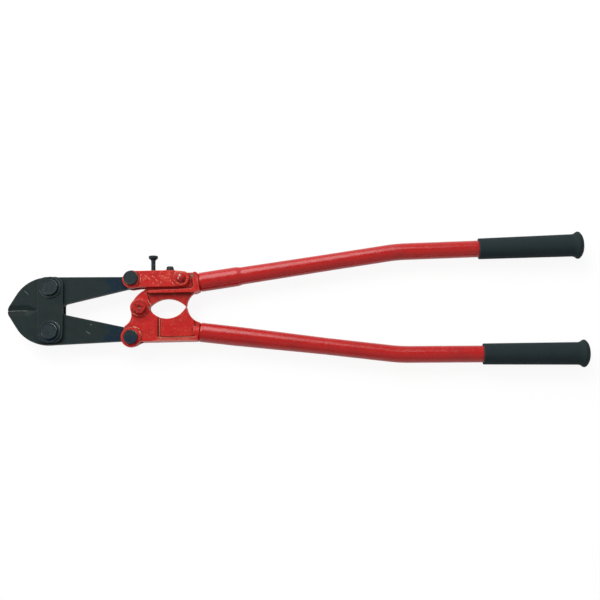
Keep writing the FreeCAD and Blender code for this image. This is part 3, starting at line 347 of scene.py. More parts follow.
# Pale strokes on the castings: painted highlights along the lit rims of the bosses and the panel,
# where the paint is also a little rubbed.
CASTING_RUBS_AND_HIGHLIGHTS = (
    Mark(-6.1, -9.0, -30, 7.0, 0.8),
    Mark(12.6, 6.4, -58, 6.5, 0.7),
    Mark(-4.0, -26.4, -22, 6.5, 0.8),
    Mark(1.6, -34.0, -64, 6.0, 0.8),
    Mark(47.5, -39.6, 0, 38.0, 0.55),
    Mark(46.0, -43.9, -1, 42.0, 0.5),
    Mark(25.9, -26.0, 90, 20.0, 0.5),
)
CASTING_BARE = (Mark(68.2, 43.0, 88, 8.5, 2.6),)
BLADE_SCRATCHES = (
    Mark(-149.0, 23.5, -44, 5.5, 0.35),
    Mark(-67.5, -31.0, -32, 5.0, 0.5),
    Mark(-64.0, -20.5, 20, 2.0, 0.4),
)
# Painted highlights at the upper left of the rivet's dome, partly chipped paint, and a painted
# shadow at its lower right.
RIVET_GLINTS = (Mark(53.2, 40.8, 60, 2.2, 1.6), Mark(51.2, 37.0, 75, 2.0, 0.8))
RIVET_SHADOW = (Mark(57.3, 33.2, 30, 3.2, 2.4),)
# Casting faces within this of the mid-plane are sunken ones.
SUNKEN_LEVEL = 4.8
# Where along the tool the blades' blue sets in, and where their ground edge starts.
BLUE_REACH = -49.0
NOSE_REACH = -176.0


# ---------------------------------------------------------------- materials

def cast_paint(name, rubs_and_highlights, flecks, bare=(), low_level=None):
    """Red enamel over a rough casting: cast grain, painted shade in corners and hollows, painted
    highlights on some rims, rubbed and chipped edges.
    """
    paint = Finish(name, RED, roughness=0.34, specular=0.24)
    paint.mottle(DEEP_RED, size=14.0, low=0.42, high=0.66, strength=0.4)
    grain = paint.noise(1.5, detail=4.0, roughness=0.6)
    paint.tint(paint.band(grain, 0.54, 0.74, 0.4), DEEP_RED)
    # Painted shade with some grime: the sunken faces are darkened in patches.
    if low_level is not None:
        paint.tint(sunken(paint, low_level), GRIME_AND_SHADE)
    # Painted shade: wide hollows that lie under their surroundings are darkened.
    paint.tint(paint.band(paint.ragged(paint.deep, grain, 0.8), -0.1, -0.65, 0.42), GRIME_AND_SHADE)
    # Painted shade in creases and concave corners.
    paint.tint(paint.band(paint.wear, -0.12, -0.75, 0.85), CREASE_SHADE_RED)
    paint.tint(paint.band(paint.ragged(paint.wear, grain, 1.5), 0.34, 0.8, 0.6), WORN_RED)
    add_flecks(paint, flecks)
    chip = paint.band(paint.ragged(paint.wear, paint.noise(2.6), 3.4), 1.28, 1.36)
    paint.tint(chip, BARE_STEEL)
    # Painted highlights, partly rubbed paint, along the listed strokes.
    paint.strokes(rubs_and_highlights, PALE_RUB_AND_HIGHLIGHT)
    paint.strokes(bare, BARE_STEEL, soft=0.6)
    paint.gloss(paint.band(grain, 0.4, 0.7), roughness=0.52)
    paint.gloss(chip, roughness=0.55)
    paint.bump(paint.noise(4.5, detail=2.0), depth=0.35, strength=0.6)
    paint.bump(grain, depth=0.26, strength=0.75)
    paint.bump(paint.noise(0.55, detail=2.0), depth=0.05, strength=0.5)
    return paint.done()


def add_flecks(paint, strength):
    """Short slanting pale streaks in loose patches: rubbed paint, and painted glints of the rough
    cast skin.
    """
    slanted = paint.turned(-38.0, stretch=(2.6, 1, 1))
    streaks = paint.noise(0.9, detail=2.0, vector=slanted, warp=0.5)
    patches = paint.noise(8.0, detail=2.0)
    speck = paint.band(paint.ragged(streaks, patches, 0.5), 0.585, 0.68)
    # Painted glints together with rubbed paint.
    paint.tint(paint.times(speck, strength), PALE_RUB_AND_HIGHLIGHT)


def sunken(paint, level):
    """A patchy mask for flat faces nearer to the mid-plane than a level, on both sides."""
    height = paint.size_of(paint.axis(paint.turned(centre=pivot), 2))
    under = paint.inverse(paint.band(height, level * MM, (level + 1.2) * MM))
    flat = paint.band(paint.size_of(paint.axis(paint.facing, 2)), 0.5, 0.9)
    patchy = paint.band(paint.noise(2.4), 0.2, 0.7, 0.12)
    return paint.times(paint.times(under, flat), patchy)


def tube_paint(name):
    """Glossy red enamel, run on a little unevenly along the drawn tube."""
    paint = Finish(name, TUBE_RED, roughness=0.235, specular=0.48)
    paint.mottle(DEEP_RED, size=30.0, low=0.45, high=0.7, strength=0.4)
    runs = paint.noise(5.0, vector=paint.turned(stretch=(2.2, 1, 1)))
    paint.tint(paint.band(runs, 0.58, 0.74, 0.2), RUN_RED)
    paint.mottle(NICK_RED, size=1.8, low=0.76, high=0.79, strength=1.0, detail=2.0)
    paint.gloss(paint.band(runs, 0.45, 0.62), roughness=0.34)
    paint.bump(runs, depth=0.2, strength=0.5)
    paint.bump(paint.noise(0.9, detail=2.0), depth=0.06, strength=0.6)
    return paint.done()


def black_oxide(name, rubbed, scratches=(), blade=False):
    """Oiled black oxide on forged steel: bluish and brownish patches, painted shade in its
    corners, and rubbed edges.
    """
    skin = Finish(name, BLACK, roughness=0.55, specular=0.13)
    skin.mottle(DEEP_BLACK, size=11.0, low=0.45, high=0.68, strength=0.6)
    skin.mottle(BROWN_BLACK, size=5.5, low=0.5, high=0.75, strength=0.6, detail=4.0, roughness=0.7)
    grain = skin.noise(1.1, detail=4.0, roughness=0.65)
    skin.tint(skin.band(grain, 0.55, 0.8, 0.3), WORN_BLACK)
    if blade:
        add_blued_tail(skin)
    # Painted shade in concave corners.
    skin.tint(skin.band(skin.wear, -0.15, -0.8, 0.6), CORNER_SHADE_BLACK)
    skin.tint(skin.band(skin.ragged(skin.wear, grain, 1.2), 0.6, 0.95, rubbed), WORN_BLACK)
    drawn = skin.turned(24.0, stretch=(22, 1, 1))
    lines = skin.noise(0.35, detail=1.0, vector=drawn)
    skin.tint(skin.band(lines, 0.72, 0.78, 0.35), WORN_BLACK)
    skin.strokes(scratches, SCRATCHED_BLACK)
    if blade:
        add_ground_edge(skin)
    skin.gloss(skin.band(grain, 0.4, 0.7), roughness=0.66)
    skin.bump(skin.noise(3.2), depth=0.14, strength=0.5)
    skin.bump(grain, depth=0.05, strength=0.6)
    return skin.done()


def add_blued_tail(skin):
    """Mottled blue steel over the blades' tails, fading in with a cloudy border."""
    reach = skin.axis(skin.turned(centre=at(BLUE_REACH, 0.0)), 0)
    cloud = skin.ragged(reach, skin.noise(9.0), 40 * MM)
    mottle = skin.band(skin.noise(2.6), 0.28, 0.55, 0.95)
    skin.tint(skin.times(skin.band(cloud, 0.0, 12 * MM), mottle), BLUE_BLACK)


def add_ground_edge(skin):
    """Painted shade over the lower bevel, and bare ground steel on the line where the jaws meet,
    near the nose.
    """
    vector = skin.turned(centre=at(NOSE_REACH, 0.0))
    along, across = skin.axis(vector, 0), skin.axis(vector, 1)
    # Painted shade: the lower bevel, which faces up into the light, is darkened.
    bevel = skin.near(skin.sum(across, 3.6 * MM), half=3.0, soft=0.8)
    bevel_shade = skin.times(bevel, skin.near(along, half=22.0, soft=8.0))
    skin.tint(skin.times(bevel_shade, 0.85), BEVEL_SHADE_BLACK)
    line = skin.near(across, half=0.25, soft=0.25)
    reach = skin.inverse(skin.band(along, 24 * MM, 33 * MM))
    broken = skin.band(skin.noise(3.2, vector=skin.turned(stretch=(2.5, 1, 1))), 0.25, 0.5)
    ground = skin.times(skin.times(line, reach), broken)
    skin.tint(ground, GROUND_STEEL)
    skin.gloss(ground, roughness=0.45)


def worn_fastener(name, shine):
    """Black oxide on turned steel, with painted highlights and rubbing along two sides of each
    raised rim.
    """
    skin = Finish(name, BOLT_BLACK, roughness=0.48, specular=0.18)
    skin.mottle(DEEP_BOLT_BLACK, size=4.0, low=0.42, high=0.66, strength=0.75)
    beside_joint = skin.axis(skin.turned(centre=at(0.0, -38.0)), 1)
    skin.tint(skin.band(beside_joint, 4 * MM, -4 * MM, 0.8), BLUE_BLACK)
    grain = skin.noise(0.8, roughness=0.6)
    skin.tint(skin.band(grain, 0.55, 0.78, 0.35), WORN_BLACK)
    arc = rim_rubs_and_highlights(skin, grain)
    # Painted highlights in bright steel on two opposite sides of the rims, which are also rubbed
    # there.
    skin.tint(skin.times(arc, shine), STEEL_RUB_AND_HIGHLIGHT)
    skin.gloss(arc, roughness=0.36)
    skin.bump(grain, depth=0.05, strength=0.6)
    return skin.done()


def rim_rubs_and_highlights(skin, grain):
    """A mask of painted highlights and rubbing on two opposite sides of worn rims, strong on the
    blades' bolts.
    """
    slant = skin.times(skin.axis(skin.facing, 0), skin.axis(skin.facing, 1))
    sides = skin.band(skin.ragged(slant, grain, 0.4), 0.04, 0.2)
    arc = skin.times(sides, skin.band(skin.wear, 0.3, 0.8))
    spread = skin.size_of(skin.axis(skin.turned(centre=pivot), 1))
    on_blades = skin.band(spread, 38 * MM, 33 * MM)
    return skin.times(arc, skin.sum(0.25, skin.times(on_blades, 0.75)))


def painted_fastener(name, glints, dome_shadows):
    """A red painted bolt or rivet, chipped down to dark steel over its head and edges, with
    painted shade in its corners.
    """
    paint = Finish(name, BOLT_RED, roughness=0.36, specular=0.24)
    grain = paint.noise(1.1, detail=4.0, roughness=0.65)
    paint.tint(paint.band(grain, 0.5, 0.7, 0.6), DEEP_RED)
    rim = paint.ragged(paint.wear, paint.noise(1.7), 2.6)
    paint.tint(paint.band(rim, 0.5, 0.85, 0.6), WORN_RED)
    flakes = paint.noise(2.8, detail=4.0, roughness=0.6, warp=0.8)
    flaked = paint.band(flakes, 0.53, 0.57, 0.9)
    paint.tint(flaked, FLAKED_BROWN)
    paint.tint(paint.band(rim, 0.9, 1.0), RIM_BROWN)
    # Painted shade in hollows and corners.
    paint.tint(paint.band(paint.wear, -0.1, -0.6, 0.9), CORNER_SHADE_BROWN)
    # Painted highlights on the rivet's dome, partly chipped paint.
    paint.strokes(glints, STEEL_RUB_AND_HIGHLIGHT, soft=0.5)
    # Painted shadow at the lower right of the rivet's dome.
    paint.strokes(dome_shadows, SHADOW_BROWN, soft=0.6)
    paint.bump(flaked, depth=0.12, strength=0.8)
    paint.bump(grain, depth=0.18, strength=0.8)
    return paint.done()


def rubber(name):
    """Dull black rubber with a fine moulded grain."""
    skin = Finish(name, RUBBER, roughness=0.8, specular=0.12)
    skin.mottle(BLUE_RUBBER, size=26.0, low=0.42, high=0.7, strength=0.5)
    grain = skin.noise(0.9, roughness=0.6)
    skin.tint(skin.band(grain, 0.5, 0.78, 0.35), PALE_RUBBER)
    skin.mottle(DUSTY_RUBBER, size=6.0, low=0.66, high=0.8, strength=0.35, detail=4.0)
    skin.tint(skin.band(skin.wear, 0.3, 1.0, 0.5), RUBBED_RUBBER)
    skin.gloss(skin.band(grain, 0.45, 0.7), roughness=0.68)
    skin.bump(grain, depth=0.12, strength=0.8)
    return skin.done()


def make_finishes():
    """Every material, by the name of the slot that it fills."""
    return {
        "blade_black": black_oxide("blade_black", rubbed=0.4, scratches=BLADE_SCRATCHES,
                                   blade=True),
        "strap_black": black_oxide("strap_black", rubbed=0.2),
        "fastener_black": worn_fastener("fastener_black", shine=0.95),
        "screw_black": worn_fastener("screw_black", shine=0.4),
        "casting_red": cast_paint("casting_red", CASTING_RUBS_AND_HIGHLIGHTS, flecks=0.22, bare=CASTING_BARE,
                                  low_level=SUNKEN_LEVEL),
        "arm_red": cast_paint("arm_red", ARM_RUBS_AND_HIGHLIGHTS, flecks=0.62),
        "pivot_red": painted_fastener("pivot_red", RIVET_GLINTS, RIVET_SHADOW),
        "tube_red": tube_paint("tube_red"),
        "grip_rubber": rubber("grip_rubber"),
    }


# ---------------------------------------------------------------- shared ways of making a piece

WELD_GAP = 0.002
# How far a point stands out to count as fully worn, or lies under its surroundings as fully deep.
WEAR_HEIGHT = 0.22
DEEP_HEIGHT = 0.6
DEEP_ROUNDS = 70


def stand_in(node, suffix, mesh):
    """Hand a finished mesh to the frame: it moves, hides and is coloured like its CAD node."""
    mesh.polygons.foreach_set("use_smooth", [True] * len(mesh.polygons))
    mesh.materials.clear()
    mesh.materials.append(finishes[slots[node]])
    piece = bpy.data.objects.new(node + suffix, mesh)
    scene.collection.objects.link(piece)
    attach(piece, nodes[node]["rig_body"])
    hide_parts(node)


def store(mesh, name, values):
    attribute = mesh.attributes.new(name, "FLOAT", "POINT")
    attribute.data.foreach_set("value", np.asarray(values, np.float32))


def vertex_table(mesh, name):
    table = np.empty(len(mesh.vertices) * 3, np.float32)
    mesh.vertices.foreach_get(name, table)
    return table.reshape(-1, 3).astype(float)


def edge_table(mesh):
    table = np.empty(len(mesh.edges) * 2, np.int32)
    mesh.edges.foreach_get("vertices", table)
    return table.reshape(-1, 2)


def relaxed(points, edges, rounds):
    """Points drawn towards their neighbours again and again."""
    count = len(points)
    degree = np.bincount(edges.ravel(), minlength=count)[:, None]
    ends = np.concatenate([edges[:, 0], edges[:, 1]])
    others = np.concatenate([edges[:, 1], edges[:, 0]])
    for _ in range(rounds):
        total = np.stack([np.bincount(ends, points[others, k], count) for k in range(3)], axis=1)
        points = 0.5 * points + 0.5 * total / degree
    return points


def rise_over(soft, points, normals, full):
    """How far points stand over a softened surface: 1 at a full height, -1 as far under it."""
    height = ((points - soft) * normals).sum(axis=1) / MM
    return np.clip(height / full, -1, 1)


def add_uneven_skin(mesh, rounds, waves):
    """Store convex and hollow places as wear and deep, which the materials use for rubbing and
    painted shade, and sink the surface in small waves.
    """
    points, normals = vertex_table(mesh, "co"), vertex_table(mesh, "normal")
    edges = edge_table(mesh)
    soft = relaxed(points, edges, rounds)
    store(mesh, "wear", rise_over(soft, points, normals, WEAR_HEIGHT))
    softer = relaxed(soft, edges, DEEP_ROUNDS)
    store(mesh, "deep", rise_over(softer, points, normals, DEEP_HEIGHT))
    sink = np.zeros(len(points))
    for size, depth in waves:
        sink += [depth * (0.5 + 0.5 * noise.noise(Vector(p) / (size * MM))) for p in points]
    points -= normals * (sink * MM)[:, None]
    mesh.vertices.foreach_set("co", points.astype(np.float32).ravel())
    mesh.update()


def welded(mesh):
    """A copy of a mesh whose faces share their corners."""
    copy = mesh.copy()
    work = bmesh.new()
    work.from_mesh(copy)
    bmesh.ops.remove_doubles(work, verts=work.verts, dist=WELD_GAP * MM)
    work.to_mesh(copy)
    work.free()
    return copy


def worn_copy(node, voxel, smoothing, waves, rounds=14):
    """A node's solid with its edges worn round. Waves are pairs of a size and a depth."""
    rough = bpy.data.objects.new(node + "_rough", welded(nodes[node].data))
    scene.collection.objects.link(rough)
    remesh = rough.modifiers.new("remesh", "REMESH")
    remesh.mode = "VOXEL"
    remesh.voxel_size = voxel * MM
    soften = rough.modifiers.new("soften", "SMOOTH")
    soften.factor = 0.5
    soften.iterations = smoothing
    graph = bpy.context.evaluated_depsgraph_get()
    mesh = bpy.data.meshes.new_from_object(rough.evaluated_get(graph))
    bpy.data.objects.remove(rough)
    add_uneven_skin(mesh, rounds, waves)
    stand_in(node, "_worn", mesh)


def join_rings(node, suffix, points, wear, closed):
    """A mesh skinned over rings of points in turn. A ring of one point closes it like a tip."""
    work = bmesh.new()
    rings = [[work.verts.new(point) for point in ring] for ring in points]
    for first, second in zip(rings, rings[1:] + (rings[:1] if closed else [])):
        for k in range(max(len(first), len(second))):
            quad = [first[k % len(first)], first[(k + 1) % len(first)],
                    second[(k + 1) % len(second)], second[k % len(second)]]
            quad = list(dict.fromkeys(quad))
            if len(quad) > 2:
                work.faces.new(quad)
    bmesh.ops.recalc_face_normals(work, faces=work.faces)
    mesh = bpy.data.meshes.new(node + suffix)
    work.to_mesh(mesh)
    work.free()
    store(mesh, "wear", wear)
    stand_in(node, suffix, mesh)


# ---------------------------------------------------------------- lathe work

BEND_STEPS = 4
BEND_MARGIN = 1.3
THREAD_ROWS = 6
ON_AXIS = 1e-6

# A thread, cut between two heights of a section.
Thread = namedtuple("Thread", "low high pitch depth")


def half_section(corners):
    """Rows of radius, height and wear along a section whose corners are (radius, height, bend)."""
    rows = []
    for index, (radius, height, bend) in enumerate(corners):
        here = Vector((radius, height))
        if not bend:
            rows.append((here, 0.0))
            continue
        start = (Vector(corners[index - 1][:2]) - here).normalized()
        end = (Vector(corners[index + 1][:2]) - here).normalized()
        rows.append((here + start * bend * BEND_MARGIN, 0.0))
        for step in range(BEND_STEPS + 1):
            share = step / BEND_STEPS
            first = (here + start * bend).lerp(here, share)
            second = here.lerp(here + end * bend, share)
            rows.append((first.lerp(second, share), 1.0 - 0.5 * abs(2 * share - 1)))
        rows.append((here + end * bend * BEND_MARGIN, 0.0))
    return rows


def thread_rows(rows, thread):
    """Divide the straight run of a section along a thread finely enough to cut it."""
    low, high = thread.low, thread.high
    radius = max(row.x for row, _ in rows if low <= row.y <= high)
    kept_above = [(row, wear) for row, wear in rows if row.y > high or row.x > radius]
    kept_below = [(row, wear) for row, wear in rows if row.y < low]
    count = int((high - low) / thread.pitch * THREAD_ROWS)
    run = [(Vector((radius, high + (low - high) * k / count)), 0.0) for k in range(count + 1)]
    return kept_above + run + kept_below


def thread_cut(thread, height, share):
    """How deep a thread is cut at a height, after a share of a turn. It fades out at both ends."""
    if not thread or not thread.low <= height <= thread.high:
        return 0.0
    phase = (height / thread.pitch + share) % 1.0
    fade = min(1.0, (height - thread.low) / thread.pitch, (thread.high - height) / thread.pitch)
    return thread.depth * fade * abs(2 * phase - 1)


def lathe(node, centre, corners, axis=(0, 0, 1), sides=72, thread=None, bored=False):
    """A turned piece about an axis. A bored piece's section goes round to its first corner."""
    rows = half_section(corners)
    if thread:
        rows = thread_rows(rows, thread)
    turn = Vector((0, 0, 1)).rotation_difference(Vector(axis)).to_matrix()
    rings, marks = [], []
    for row, wear in rows:
        ring = []
        for k in range(1 if row.x < ON_AXIS else sides):
            angle = 2 * math.pi * k / sides
            radius = row.x - thread_cut(thread, row.y, k / sides)
            local = Vector((radius * math.cos(angle), radius * math.sin(angle), row.y)) * MM
            ring.append(centre + turn @ local)
        rings.append(ring)
        marks += [wear] * len(ring)
    join_rings(node, "_turned", rings, marks, closed=bored)


# ---------------------------------------------------------------- forged and cast pieces

CAST_WAVES = ((6.0, 0.12), (1.6, 0.06))
FORGED_WAVES = ((8.0, 0.08), (2.2, 0.03))
HEAD_WAVES = ((2.0, 0.05),)
NUT_WAVES = ((3.0, 0.02),)


def make_heavy_pieces():
    for name in ("lower_handle_casting", "upper_handle_casting"):
        worn_copy(name, voxel=0.5, smoothing=5, waves=CAST_WAVES)
    worn_copy("adjusting_arm", voxel=0.45, smoothing=5, waves=CAST_WAVES)
    for name in ("upper_blade", "lower_blade", "front_strap", "back_strap"):
        worn_copy(name, voxel=0.5, smoothing=3, waves=FORGED_WAVES)
    worn_copy("centre_pivot_bolt", voxel=0.32, smoothing=3, waves=HEAD_WAVES)
    for name in ("upper_blade_nut", "lower_blade_nut", "upper_joint_nut", "lower_joint_nut",
                 "centre_pivot_nut"):
        worn_copy(name, voxel=0.32, smoothing=2, waves=NUT_WAVES, rounds=8)


# ---------------------------------------------------------------- turned pieces

# Corners of a section are (radius, height, bend), and a bend is how far its rounding reaches.
SLIDE_GAP = 0.15
BLADE_THICKNESS = 12.0
STRAP_THICKNESS = 5.0
EDGE_BREAK = 0.7

JOINT_HEAD_RADIUS, JOINT_HEAD_HEIGHT = 9.3, 3.8
JOINT_RIM_RADIUS, JOINT_HOLLOW_RADIUS, JOINT_HOLLOW_DEPTH = 8.1, 7.4, 0.12
JOINT_BOLT_RADIUS, JOINT_THREAD_LENGTH = 5.0, 5.5

BLADE_HEAD_RADIUS, BLADE_HEAD_HEIGHT = 10.3, 3.4
BLADE_RIM_RADIUS, BLADE_HOLLOW_RADIUS, BLADE_HOLLOW_DEPTH = 9.0, 8.2, 0.15
BLADE_BOLT_RADIUS, BLADE_THREAD_RADIUS, BLADE_THREAD_LENGTH = 7.0, 6.0, 5.0
WASHER_RADIUS, WASHER_THICKNESS, WASHER_GAP = 14.1, 1.3, 0.02

RIVET_RADIUS, RIVET_HEAD_RADIUS, RIVET_HEAD_HEIGHT, RIVET_SEAM = 5.0, 6.85, 3.6, 0.01
DOME_STEPS = 12

SCREW_RADIUS, SCREW_HEAD_RADIUS, SCREW_CROWN_RADIUS = 3.0, 6.1, 5.2
SCREW_HEAD_HEIGHT, SCREW_HEAD_TAPER, SCREW_CROWN_DIP = 3.2, 2.6, 0.1


def box_facts(node):
    """The middle of a node's box, and how far in millimetres its bottom and top lie from it."""
    low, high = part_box(node)
    middle = (low + high) / 2
    return middle, (low.z - middle.z) / MM, (high.z - middle.z) / MM


def make_joint_bolt(node):
    middle, low, top = box_facts(node)
    seat = top - JOINT_HEAD_HEIGHT
    face = top - JOINT_HOLLOW_DEPTH
    lathe(node, middle, [
        (0, face, 0), (JOINT_HOLLOW_RADIUS, face, 0.3),
        (JOINT_RIM_RADIUS, top, 0.2), (JOINT_HEAD_RADIUS, top, 0.55),
        (JOINT_HEAD_RADIUS, seat, 0), (JOINT_BOLT_RADIUS, seat, 0),
        (JOINT_BOLT_RADIUS, low, EDGE_BREAK), (0, low, 0),
    ], thread=Thread(low + EDGE_BREAK, low + JOINT_THREAD_LENGTH, pitch=1.5, depth=0.45))


def make_blade_bolt(node):
    middle, low, top = box_facts(node)
    seat = top - BLADE_HEAD_HEIGHT
    face = top - BLADE_HOLLOW_DEPTH
    shoulder = seat - WASHER_THICKNESS - 2 * STRAP_THICKNESS - BLADE_THICKNESS - SLIDE_GAP
    lathe(node, middle, [
        (0, face, 0), (BLADE_HOLLOW_RADIUS, face, 0.4),
        (BLADE_RIM_RADIUS, top, 0.3), (BLADE_HEAD_RADIUS, top, 0.6),
        (BLADE_HEAD_RADIUS, seat, 0), (BLADE_BOLT_RADIUS, seat, 0),
        (BLADE_BOLT_RADIUS, shoulder, 0), (BLADE_THREAD_RADIUS, shoulder, 0),
        (BLADE_THREAD_RADIUS, low, EDGE_BREAK), (0, low, 0),
    ], thread=Thread(low + EDGE_BREAK, low + BLADE_THREAD_LENGTH, pitch=1.75, depth=0.5))


def make_blade_washer(node):
    middle, low, top = box_facts(node)
    bore = BLADE_BOLT_RADIUS + WASHER_GAP
    lathe(node, middle, [
        (bore, top, 0), (WASHER_RADIUS, top, 0.45), (WASHER_RADIUS, low, 0.3), (bore, low, 0),
    ], bored=True)


def make_rivet(node):
    """Both heads are shallow domes, alike in front and behind."""
    middle, low, top = box_facts(node)
    ball = (RIVET_HEAD_RADIUS ** 2 + RIVET_HEAD_HEIGHT ** 2) / (2 * RIVET_HEAD_HEIGHT)
    section = []
    for k in range(DOME_STEPS + 1):
        radius = RIVET_HEAD_RADIUS * k / DOME_STEPS
        section.append((radius, top - ball + math.sqrt(ball * ball - radius * radius), 0))
    seat = top - RIVET_HEAD_HEIGHT - RIVET_SEAM
    section += [(RIVET_HEAD_RADIUS, seat, 0), (RIVET_RADIUS, seat, 0)]
    mirrored = [(radius, -height, 0) for radius, height, _ in reversed(section)]
    lathe(node, middle, section + mirrored)


def make_adjusting_screw(node):
    low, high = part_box(node)
    middle = (low + high) / 2
    top = (high.y - middle.y) / MM
    rim = top - SCREW_HEAD_HEIGHT
    lathe(node, middle, [
        (0, top - SCREW_CROWN_DIP, 0), (SCREW_CROWN_RADIUS, top, 0.4),
        (SCREW_HEAD_RADIUS, top, 0.5), (SCREW_HEAD_RADIUS, rim, 0.5),
        (SCREW_RADIUS, rim - SCREW_HEAD_TAPER, 0.4), (SCREW_RADIUS, -top, EDGE_BREAK),
        (0, -top, 0),
    ], axis=(0, 1, 0), sides=48, thread=Thread(-top + 0.8, top - 7.0, pitch=1.0, depth=0.3))


def make_turned_pieces():
    for name in ("upper_joint_bolt", "lower_joint_bolt"):
        make_joint_bolt(name)
    for name in ("upper_blade_bolt", "lower_blade_bolt"):
        make_blade_bolt(name)
    for name in ("upper_blade_washer", "lower_blade_washer"):
        make_blade_washer(name)
    make_rivet("arm_pivot_rivet")
    make_adjusting_screw("adjusting_screw")


# ---------------------------------------------------------------- handles

SOCKET_REACH, SOCKET_SPREAD = 78.0, 33.0
SPLAY = math.radians(7.66)
GRIP_SPLAY = math.radians(0.9)
BEND_RUN, BEND_RADIUS, GRIP_RUN = 262.8, 200.0, 108.6
BEND = SPLAY - GRIP_SPLAY
BEND_TANGENT = BEND_RADIUS * math.tan(BEND / 2)
BEND_START = BEND_RUN - BEND_TANGENT
BEND_END = BEND_START + BEND_RADIUS * BEND

GRIP_START = BEND_END + GRIP_RUN - BEND_TANGENT
GRIP_LENGTH, GRIP_END_WALL, GRIP_END_GAP = 137.7, 5.0, 0.3
GRIP_MOUTH_RADIUS, GRIP_WAIST_RADIUS, GRIP_WAIST_RUN, GRIP_BORE_RADIUS = 13.8, 14.8, 122.0, 11.12
FLANGE_RADIUS, FLANGE_CREST_RUN, FLANGE_LIP_RADIUS, FLANGE_LIP_HALF = 18.1, 131.3, 3.5, 2.6
FLANGE_HOLLOW_RADIUS, GRIP_END_RADIUS, GRIP_DOME_RADIUS = 9.6, 10.5, 14.0
GRIP_ROWS = 30

TUBE_WALL = 2.3
TUBE_RADIUS, SOCKET_RADIUS, NECK_GAP = 11.1, 12.8, 0.7
TUBE_END = GRIP_START + GRIP_LENGTH - GRIP_END_WALL - GRIP_END_GAP
TUBE_TAPER_END = 165.0
# Radii of each tube along its run, where they change. The upper one has a step behind its socket.
UPPER_RADII = ((NECK_GAP, SOCKET_RADIUS), (50.0, SOCKET_RADIUS), (56.0, 11.6),
               (TUBE_TAPER_END, TUBE_RADIUS), (TUBE_END, TUBE_RADIUS))
LOWER_RADII = ((NECK_GAP, SOCKET_RADIUS), (46.0, SOCKET_RADIUS),
               (TUBE_TAPER_END, TUBE_RADIUS), (TUBE_END, TUBE_RADIUS))
TUBE_STEP = 3.0
CORNER_STEPS = (-1.2, -0.4, 0.0, 0.4, 1.2)
TUBE_END_ROUND = 0.4
DENT_SIZE, DENT_DEPTH = 9.0, 0.07
HANDLE_SIDES = 80


def handle_line(side, run):
    """The place and direction on a handle's centre line, a run beyond the casting's socket."""
    turned = min(max((run - BEND_START) / BEND_RADIUS, 0.0), BEND)
    beyond = max(run - BEND_END, 0.0)
    x = min(run, BEND_START) + BEND_RADIUS * math.sin(turned) + beyond * math.cos(turned)
    y = -BEND_RADIUS * (1 - math.cos(turned)) - beyond * math.sin(turned)
    forward = x * math.cos(SPLAY) - y * math.sin(SPLAY)
    aside = x * math.sin(SPLAY) + y * math.cos(SPLAY)
    heading = SPLAY - turned
    place = at(SOCKET_REACH + forward, side * (SOCKET_SPREAD + aside))
    return place, Vector((math.cos(heading), side * math.sin(heading), 0.0))


def tube_ring(side, run, radius, dent_depth=0.0):
    """Points round the handle's line, pressed in by small uneven hollows."""
    place, heading = handle_line(side, run)
    across = Vector((-heading.y, heading.x, 0.0))
    ring = []
    for k in range(HANDLE_SIDES):
        angle = 2 * math.pi * k / HANDLE_SIDES
        out = across * math.cos(angle) + Vector((0, 0, 1)) * math.sin(angle)
        whole = place + out * radius * MM
        dent = dent_depth * (0.5 + 0.5 * noise.noise(whole / (DENT_SIZE * MM)))
        ring.append(place + out * (radius - dent) * MM)
    return ring


def make_tube(side, node, radii):
    """The outer skin, both end faces and the bore of a bent tube, as one closed mesh."""
    def radius(run):
        return float(np.interp(run, *zip(*radii)))

    corner_runs = [run + shift for run, _ in radii[1:-1] for shift in CORNER_STEPS]
    plain_runs = list(np.arange(NECK_GAP + TUBE_STEP, TUBE_END, TUBE_STEP))
    edge_runs = [NECK_GAP + TUBE_END_ROUND, TUBE_END - TUBE_END_ROUND]
    outer_runs = sorted(edge_runs + corner_runs + plain_runs)
    bore_runs = sorted([NECK_GAP, TUBE_END] + outer_runs[::4])
    front = tube_ring(side, NECK_GAP, radius(NECK_GAP) - TUBE_END_ROUND)
    back = tube_ring(side, TUBE_END, radius(TUBE_END) - TUBE_END_ROUND)
    outer = [tube_ring(side, run, radius(run), DENT_DEPTH) for run in outer_runs]
    bore = [tube_ring(side, run, radius(run) - TUBE_WALL) for run in reversed(bore_runs)]
    rings = [front, *outer, back, *bore]
    join_rings(node, "_drawn", rings, np.zeros(len(rings) * HANDLE_SIDES), closed=True)


def arc_between(start, end, radius, steps):
    """Points of an arc from start to end. It bulges to the left of the way for a radius over 0."""
    start, end = Vector(start), Vector(end)
    way = end - start
    across = Vector((-way.y, way.x)).normalized()
    rise = math.sqrt(max(radius * radius - way.length_squared / 4, 0.0))
    centre = (start + end) / 2 - across * math.copysign(rise, radius)
    first, last = start - centre, end - centre
    turn = first.angle_signed(last)
    points = []
    for k in range(1, steps + 1):
        angle = -turn * k / steps
        points.append((centre.x + first.x * math.cos(angle) - first.y * math.sin(angle),
                       centre.y + first.x * math.sin(angle) + first.y * math.cos(angle)))
    return points


def grip_end_line():
    """Runs and radii from the waist over the hollow, the flange's lip and the domed end."""
    shoulder = FLANGE_RADIUS - FLANGE_LIP_RADIUS + math.sqrt(
        FLANGE_LIP_RADIUS ** 2 - FLANGE_LIP_HALF ** 2)
    line = [(GRIP_WAIST_RUN, GRIP_WAIST_RADIUS)]
    line += arc_between(line[-1], (FLANGE_CREST_RUN - FLANGE_LIP_HALF, shoulder),
                        -FLANGE_HOLLOW_RADIUS, 6)
    line += arc_between(line[-1], (FLANGE_CREST_RUN + FLANGE_LIP_HALF, shoulder),
                        FLANGE_LIP_RADIUS, 8)
    line += arc_between(line[-1], (GRIP_LENGTH, GRIP_END_RADIUS), GRIP_DOME_RADIUS, 8)
    return line


